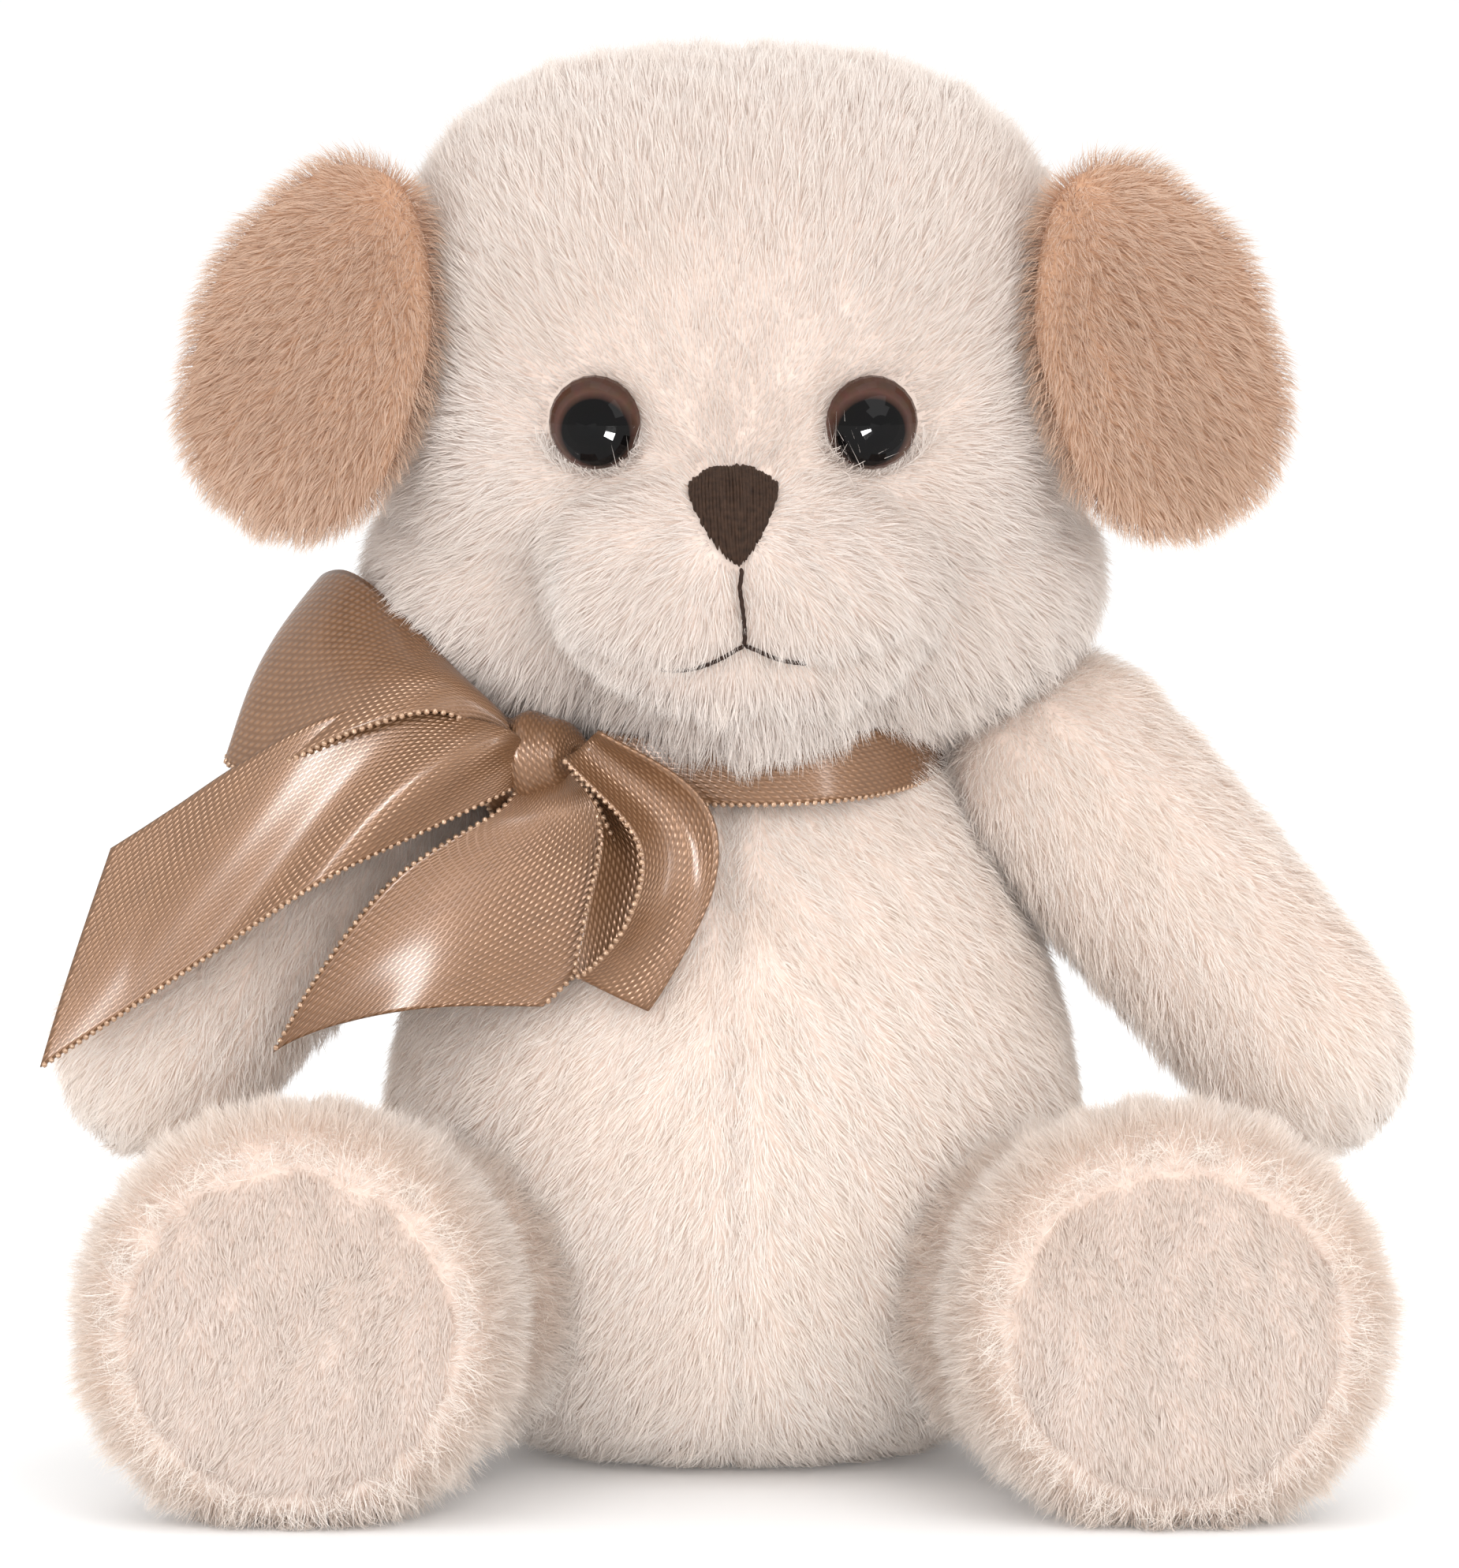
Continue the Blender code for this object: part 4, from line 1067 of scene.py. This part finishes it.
def make_bow():
    low = from_knot((-2, -2, -1), (-9, -5, -5), (-27, -5.5, -14.5), (-47, -5, -27), (-66.5, -3.5, -40))
    high = from_knot((-2, -2, 3), (-9, -3, 6.5), (-24, -1.0, 7.5), (-39, 0.5, 0.5), (-57.5, 4.5, -11.5))

    def tail_crown(along, across):
        bulge = 1.4 * np.sin(math.pi * across) * (1 - 0.6 * along)
        arch = 2.6 * np.sin(math.pi * np.clip(along * 1.15, 0, 1)) ** 1.2
        # One soft fold runs from the upper edge by the knot down to the lower edge
        off = (20 * (72 * along - 9) + 28 * (20 * across - 20)) / 34.4
        ridge = TAIL_FOLD * bell(off, TAIL_FOLD_WIDTH)
        return TOWARDS * (bulge + arch + ridge + 0.4 * np.sin(8.5 * along + 2.8 * across)) * MM

    ribbon("ribbon_tail_side", cloth_grid(low, high, 90, 36, tail_crown), "bow_tail_side")

    low = from_knot((-2, -3, -1), (-7, -7, -6), (-19.5, -5.5, -14.5), (-28.5, -4, -26), (-35.5, -3, -38))
    high = from_knot((4, -3, -1), (8, -7.5, -5), (10.5, -8, -14), (7.5, -9, -23), (0.5, -10, -31))

    def mid_crown(along, across):
        dent = -2.2 * np.sin(math.pi * across) ** 2 * along
        return TOWARDS * (dent + 0.9 * np.sin(5.0 * along - 2.0 * across + 0.8)) * MM

    rows, columns = 60, 26
    mid = cloth_grid(low, high, rows, columns, mid_crown)
    swell = 2.6 * np.sin(math.pi * np.linspace(0, 1, columns) ** 0.75)
    mid[:, :, 2] += np.linspace(0, 1, rows)[:, None] ** 4 * swell[None] * MM
    ribbon("ribbon_tail_front", mid, "bow_tail_front", BOTH_EDGES)

    low = [(-5, -3, 2), (-13, -6, 7.5), (-25, -6, 5), (-37, -2, 0)]
    low += [(-42.5, 5, 1.0), (-35, 10, 3), (-20, 7, 4), (-8, 3, 3)]
    high = [(-5, -1, 7), (-12, 1, 14), (-20, 10, 21), (-26, 17, 24)]
    high += [(-29.5, 23, 21), (-25, 25, 15), (-15, 14, 10), (-7, 4, 6)]

    def loop_crown(along, across):
        return -(1.6 * np.sin(math.pi * across) + 0.8 * np.sin(9 * along + 3 * across)) * MM

    loop = cloth_grid(from_knot(*low), from_knot(*high), 84, 24, loop_crown)
    ribbon("ribbon_loop_side", loop, "bow_loop_side")

    low = [(3, -8, 2), (13, -14, -8.5), (11.5, -16, -19), (5, -12.5, -26.5)]
    low += [(6, -10, -19), (8, -9, -9), (7, -5.5, -3)]
    high = [(8, -8.5, 6), (21, -9.5, -4), (22.5, -12, -15), (14.5, -12.5, -31)]
    high += [(16, -9.5, -21), (18, -8, -11), (12, -5, -2)]

    def front_crown(along, across):
        turned = 2.6 * np.clip((across - 0.68) / 0.32, 0, 1) ** 2
        return TOWARDS * ((2.2 * np.sin(math.pi * across) - turned) * np.cos(math.pi * along)) * MM

    loop = cloth_grid(from_knot(*low), from_knot(*high), 80, 22, front_crown)
    ribbon("ribbon_loop_front", loop, "bow_loop_front")
    make_collar()
    make_knot()


COLLAR_TILT = math.radians(4)
COLLAR_GAP = 0.10  # radians on each side of the knot
# The ribbon's section, out and up in millimetres: folded along its length, both picot edges below
COLLAR_FOLD = ((0.0, -4.2, 0), (-0.1, 0, 0), (-0.5, 3.8, 0), (-1.3, 3.6, 0), (-1.5, 0, 0), (-1.3, -3.7, 0))


def make_collar():
    low, high = corners("collar_ribbon")
    radius = (high[0] - low[0]) / 2
    centre = (low + high) / 2
    turn = math.atan2(BOW[1], BOW[0]) + np.linspace(COLLAR_GAP, math.tau - COLLAR_GAP, 150)
    section = curve(COLLAR_FOLD, 26) * MM
    x, y = np.cos(turn), np.sin(turn)
    flare = 1.2 * MM * (0.5 - section[:, 1] / (8.4 * MM))
    fold = 0.5 * MM * np.sin(turn * 5 + 0.6)
    reach = radius - 0.4 * MM + fold[:, None] + (flare + section[:, 0])[None, :]
    z = centre[2] + section[None, :, 1] + math.sin(COLLAR_TILT) * radius * y[:, None]
    grid = np.stack([reach * x[:, None], reach * y[:, None], z + 0 * reach], -1)
    grid[..., :2] += centre[:2]
    ribbon("ribbon_collar", grid, "collar_ribbon", BOTH_EDGES)


KNOT_AXIS = unit(np.array([0.93, -0.34, 0.12]))
KNOT_TURN = 2.7  # radians that the band wraps to each side
KNOT_RADIUS, KNOT_HALF = 6.2, 7.2  # in millimetres


def make_knot():
    """The band wrapped round the bow's middle, pulled into a few soft folds."""
    out = unit(np.cross(KNOT_AXIS, UP))
    up = np.cross(out, KNOT_AXIS)
    turn = np.linspace(-KNOT_TURN, KNOT_TURN, 72)[:, None]
    across = np.linspace(-1, 1, 26)
    pinch = np.clip((across - 0.2) / 0.8, 0, 1)
    flare = 0.8 * (across < 0) * across**2 - 5.4 * pinch**2.4
    folds = (0.5 * np.cos(across * 7.0 + 0.5) + flare)[None, :]
    radius = KNOT_RADIUS + folds - 0.4 * np.abs(np.sin(turn))
    shift = KNOT_HALF * across[None, :] * (1 - 0.22 * np.cos(turn / KNOT_TURN * math.pi / 2))
    around = out * np.cos(turn)[..., None] + up * np.sin(turn)[..., None]
    middle_of_knot = BOW + mm(-0.5, 0, 1.0)
    grid = middle_of_knot + around * radius[..., None] * MM + KNOT_AXIS * shift[..., None] * MM
    ribbon("ribbon_knot", grid, "bow_knot")


# ---- face ----


def face_finder(skin):
    bm = bmesh.new()
    bm.from_mesh(skin.data)
    tree = BVHTree.FromBMesh(bm)
    bm.free()

    def at(x, z, lift):
        place, normal, _, _ = tree.ray_cast(Vector((x, -0.2, z)), Vector((0, 1, 0)))
        return np.array(place) + np.array(normal) * lift

    return at


THREAD_LIFT = 1.5 * MM
MOUTH_SHARES = (1.0, 0.76, 0.60)  # how much of the parting and of each arc shows
PLIES, THREAD_SIDES = 3, 14


def thread_mesh(name, lines, radius, material):
    """Threads along lines, each a tube whose section turns like twisted plies."""
    verts, faces = [], []
    turn = np.linspace(0, math.tau, THREAD_SIDES, endpoint=False)
    for line in lines:
        line = np.asarray(line)
        heading = unit(np.gradient(line, axis=0))
        side = unit(np.cross(heading, np.array([0, -1.0, 0.05])))
        out = np.cross(side, heading)
        along = distances(line)
        taper = np.sqrt(np.clip(np.minimum(along, along[-1] - along) / radius + 0.05, 0, 1))
        ply = 1 + 0.13 * np.cos(PLIES * (turn[None, :] - along[:, None] / (radius * 2.2)))
        size = radius * taper[:, None] * ply
        ring = line[:, None] + side[:, None] * (np.cos(turn) * size)[..., None]
        ring = ring + out[:, None] * (np.sin(turn) * size)[..., None]
        first, last = len(verts), len(verts) + (len(line) - 1) * THREAD_SIDES
        verts += ring.reshape(-1, 3).tolist()
        faces += tube_faces(len(line), THREAD_SIDES, first)
        faces.append(tuple(first + j for j in reversed(range(THREAD_SIDES))))
        faces.append(tuple(last + j for j in range(THREAD_SIDES)))
    made = plain_mesh(name, verts, faces, material)
    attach(made, "head")
    return made


def mouth_lines(at):
    """The parting below the nose and the mouth's two arcs, which sink into the pile."""
    found = []
    for points, shown in zip((PARTING, MOUTH_LEFT, MOUTH_RIGHT), MOUTH_SHARES):
        flat = curve(points, 48)[: int(48 * shown)]
        sink = np.linspace(0, 1, len(flat)) ** 2 * (shown < 1)
        lift = THREAD_LIFT * (1 - 0.7 * sink)
        line = np.array([at(x, z, h) for (x, z), h in zip(flat, lift)])
        for _ in range(30):
            line[1:-1] = (line[:-2] + 2 * line[1:-1] + line[2:]) / 4
        found.append(line)
    return found


def make_face(skin):
    at = face_finder(skin)
    thread = {"scale": 1400.0, "rough": 0.6, "bump": (0.4, 0.0001), "Specular_IOR_Level": 0.2}
    dark = noise_material("dark_thread", rgb(62, 42, 33), rgb(30, 20, 16), **thread)
    low, high = corners("nose")
    top, bottom = high[2] - NOSE_TOP_DROP, low[2]
    lines = []
    for i, t in enumerate(np.linspace(-1, 1, 27)):
        peak = top - 2.4 * MM * abs(t) ** 2.2 + 0.45 * MM * RNG.random()
        foot = bottom + (top - bottom) * 0.62 * abs(t) ** 1.7 - 0.2 * MM * (i % 2)
        x_top = (t * NOSE_HALF_WIDTH, peak)
        x_low = (t * NOSE_HALF_WIDTH * 0.95 + 0.6 * MM * (1 - abs(t)), foot)
        flat = np.linspace(x_top, x_low, 16)
        bulge = np.sin(np.linspace(0, math.pi, 16)) * (1 - 0.4 * t * t)
        lines.append([at(x, z, 0.9 * MM + 0.9 * MM * b) for (x, z), b in zip(flat, bulge)])
    brown = noise_material("nose_thread", rgb(76, 54, 41), rgb(10, 7, 5), **thread)
    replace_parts(thread_mesh("nose_stitches", lines, 0.31 * MM, brown), "nose")
    names = ("philtrum_stitch", "mouth_stitch_left", "mouth_stitch_right")
    for node_name, line in zip(names, mouth_lines(at)):
        made = thread_mesh(f"{node_name}_thread", [line], 0.28 * MM, dark)
        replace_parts(made, node_name)


PUPIL_SHIFT = mm(-1.0, 0, -1.0)  # inwards and down, as the left pupil looks in its dome


def eye_material(name, side):
    """Glossy safety eye: black pupil and brown iris, darker at the edge as painted shade from the
    overhanging pile, told apart by distance from its axis.
    """
    made, tree, shader = new_material(name, Roughness=0.06, Specular_IOR_Level=0.14)
    where = node(tree, "TexCoord").outputs["Object"]
    pupil = tuple(eye_front(side) + PUPIL_SHIFT * mirror(side))
    off = node(tree, "VectorMath", where, pupil, operation="SUBTRACT").outputs[0]
    axis = Vector(EYE_LOOK * mirror(side))
    across = node(tree, "VectorMath", off, axis, operation="CROSS_PRODUCT").outputs[0]
    reach = node(tree, "VectorMath", across, operation="LENGTH").outputs["Value"]
    share = node(tree, "Math", reach, EYE_RADIUS, operation="DIVIDE").outputs[0]
    ramp = node(tree, "ValToRGB", share)
    stops = ramp.color_ramp.elements
    stops[0].position, stops[0].color = 0.0, rgb(9, 9, 10)
    stops[1].position, stops[1].color = 0.70, rgb(12, 10, 10)
    # The outermost stop is darker than the iris: painted shade where the pile overhangs the eye's edge.
    for place, colour in ((0.74, rgb(54, 36, 30)), (0.86, rgb(88, 62, 53)), (1.0, rgb(76, 52, 43))):
        stops.new(place).color = colour
    flecks = node(tree, "TexNoise", where, Scale=700.0, Detail=2.0).outputs["Color"]
    wire(shader, Base_Color=mix_colour(tree, 0.35, ramp.outputs["Color"], flecks, "MULTIPLY"))
    return made


def lower_lids(skin):
    """Hairs that cross the lower edge of each eye."""
    roots, normals = surface_spots(skin, 14.0)
    for side, word in WORDS.items():
        off = roots - eye_rim(side)
        reach = np.hypot(off[:, 0], off[:, 2])
        below = (off[:, 2] < -3.4 * MM) & (roots[:, 1] < 0)
        below &= (reach > EYE_RADIUS - 0.2 * MM) & (reach < 8.0 * MM)
        p, n = roots[below], normals[below]
        flow = np.array([0.1 * side, 0, 1.0]) + 0.45 * RNG.normal(size=p.shape)
        tall = RNG.uniform(5.0, 9.0, len(p)) * MM
        made = strands(f"lower_lid_{word}", p, n, flow, tall, (0.3, 1.2), CREAM_HEAD)
        cover(made, "head")


# ---- hidden insides and the label ----


def paint(names, material):
    for name in names:
        mesh = bpy.data.objects[name].data
        mesh.materials.clear()
        mesh.materials.append(material)


def make_insides():
    bumps = {"bump": (0.5, 0.0004), "detail": 4.0}
    fibre = noise_material("fibre_fill", rgb(244, 243, 240), rgb(226, 225, 220), 420.0, 0.95, **bumps)
    bag = noise_material("pellet_bag_cloth", rgb(232, 228, 220), rgb(206, 200, 190), 800.0, 0.85, **bumps)
    plastic = noise_material("washer_plastic", rgb(236, 234, 228), rgb(222, 219, 212), 260.0, 0.4, **bumps)
    limbs = [f"{part}_stuffing_{word}" for part in ("arm", "leg") for word in ("left", "right")]
    paint(["head_stuffing", "muzzle_stuffing", "body_stuffing"] + limbs, fibre)
    paint(["pellet_bag"], bag)
    paint(["eye_washer_left", "eye_washer_right"], plastic)
    for side, word in WORDS.items():
        EYES.objects.link(bpy.data.objects[f"eye_{word}"])
        paint([f"eye_{word}"], eye_material(f"eye_gloss_{word}", side))


# The third tone is the lighter one of the label's rib crossings, partly a painted highlight.
LABEL_TONES = (rgb(246, 244, 240), rgb(232, 229, 222), rgb(248, 246, 243))
LABEL_CLOTH = satin_material("label_satin", *LABEL_TONES, gloss=0.5, metal=0.0)
LABEL_THICKNESS = 0.2 * MM


def make_label():
    """A small blank loop of woven satin, sewn into the back seam and folded on itself."""
    low, high = corners("care_label")
    x = (low[0] + high[0]) / 2
    back = high[1] - 2 * MM
    fold = [(x - 0.35 * MM, low[1]), (x - 0.5 * MM, back), (x, high[1] + 0.6 * MM)]
    fold += [(x + 0.5 * MM, back), (x + 0.35 * MM, low[1])]
    path = curve([(a, b, 0) for a, b in fold], 48)
    grid = np.repeat(path[:, None], 20, 1)
    grid[..., 2] = np.linspace(low[2], high[2], 20)[None]
    cloth_piece = cloth("label_loop", grid, LABEL_CLOTH, LABEL_THICKNESS)
    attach(cloth_piece, "torso")
    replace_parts(cloth_piece, "care_label")

make_head()
make_body()
make_limbs()
make_ears()
make_tail()
make_bow()
make_insides()
make_label()

stage()
area_light("key", (0.8, -1.5, 1.1), (0, 0, 0.1), (1.2, 1.2), 9)
area_light("fill", (-1.1, -1.3, 0.8), (0, 0, 0.1), (1.3, 1.3), 6)
area_light("top", (0, 0.1, 1.7), (0, 0, 0.1), (1.4, 1.4), 5)
area_light("low", (0, -1.6, 0.25), (0, 0, 0.05), (1.6, 0.4), 6)
for name, place, size, power in (
    ("sheen_left", (-0.85, -1.30, 0.78), (0.36, 0.36), 26),
    ("sheen_right", (1.1, -1.0, 0.5), (0.12, 0.9), 9),
):
    area_light(name, place, (-0.03, 0, 0.09), size, power, RIBBONS)
catch = area_light("catch", (0.039, -0.30, 0.041), (0, 0, 0.137), (0.062, 0.074), 2.2, EYES)
catch.data.shape = "ELLIPSE"
camera()
bpy.context.scene.view_settings.view_transform = "Standard"
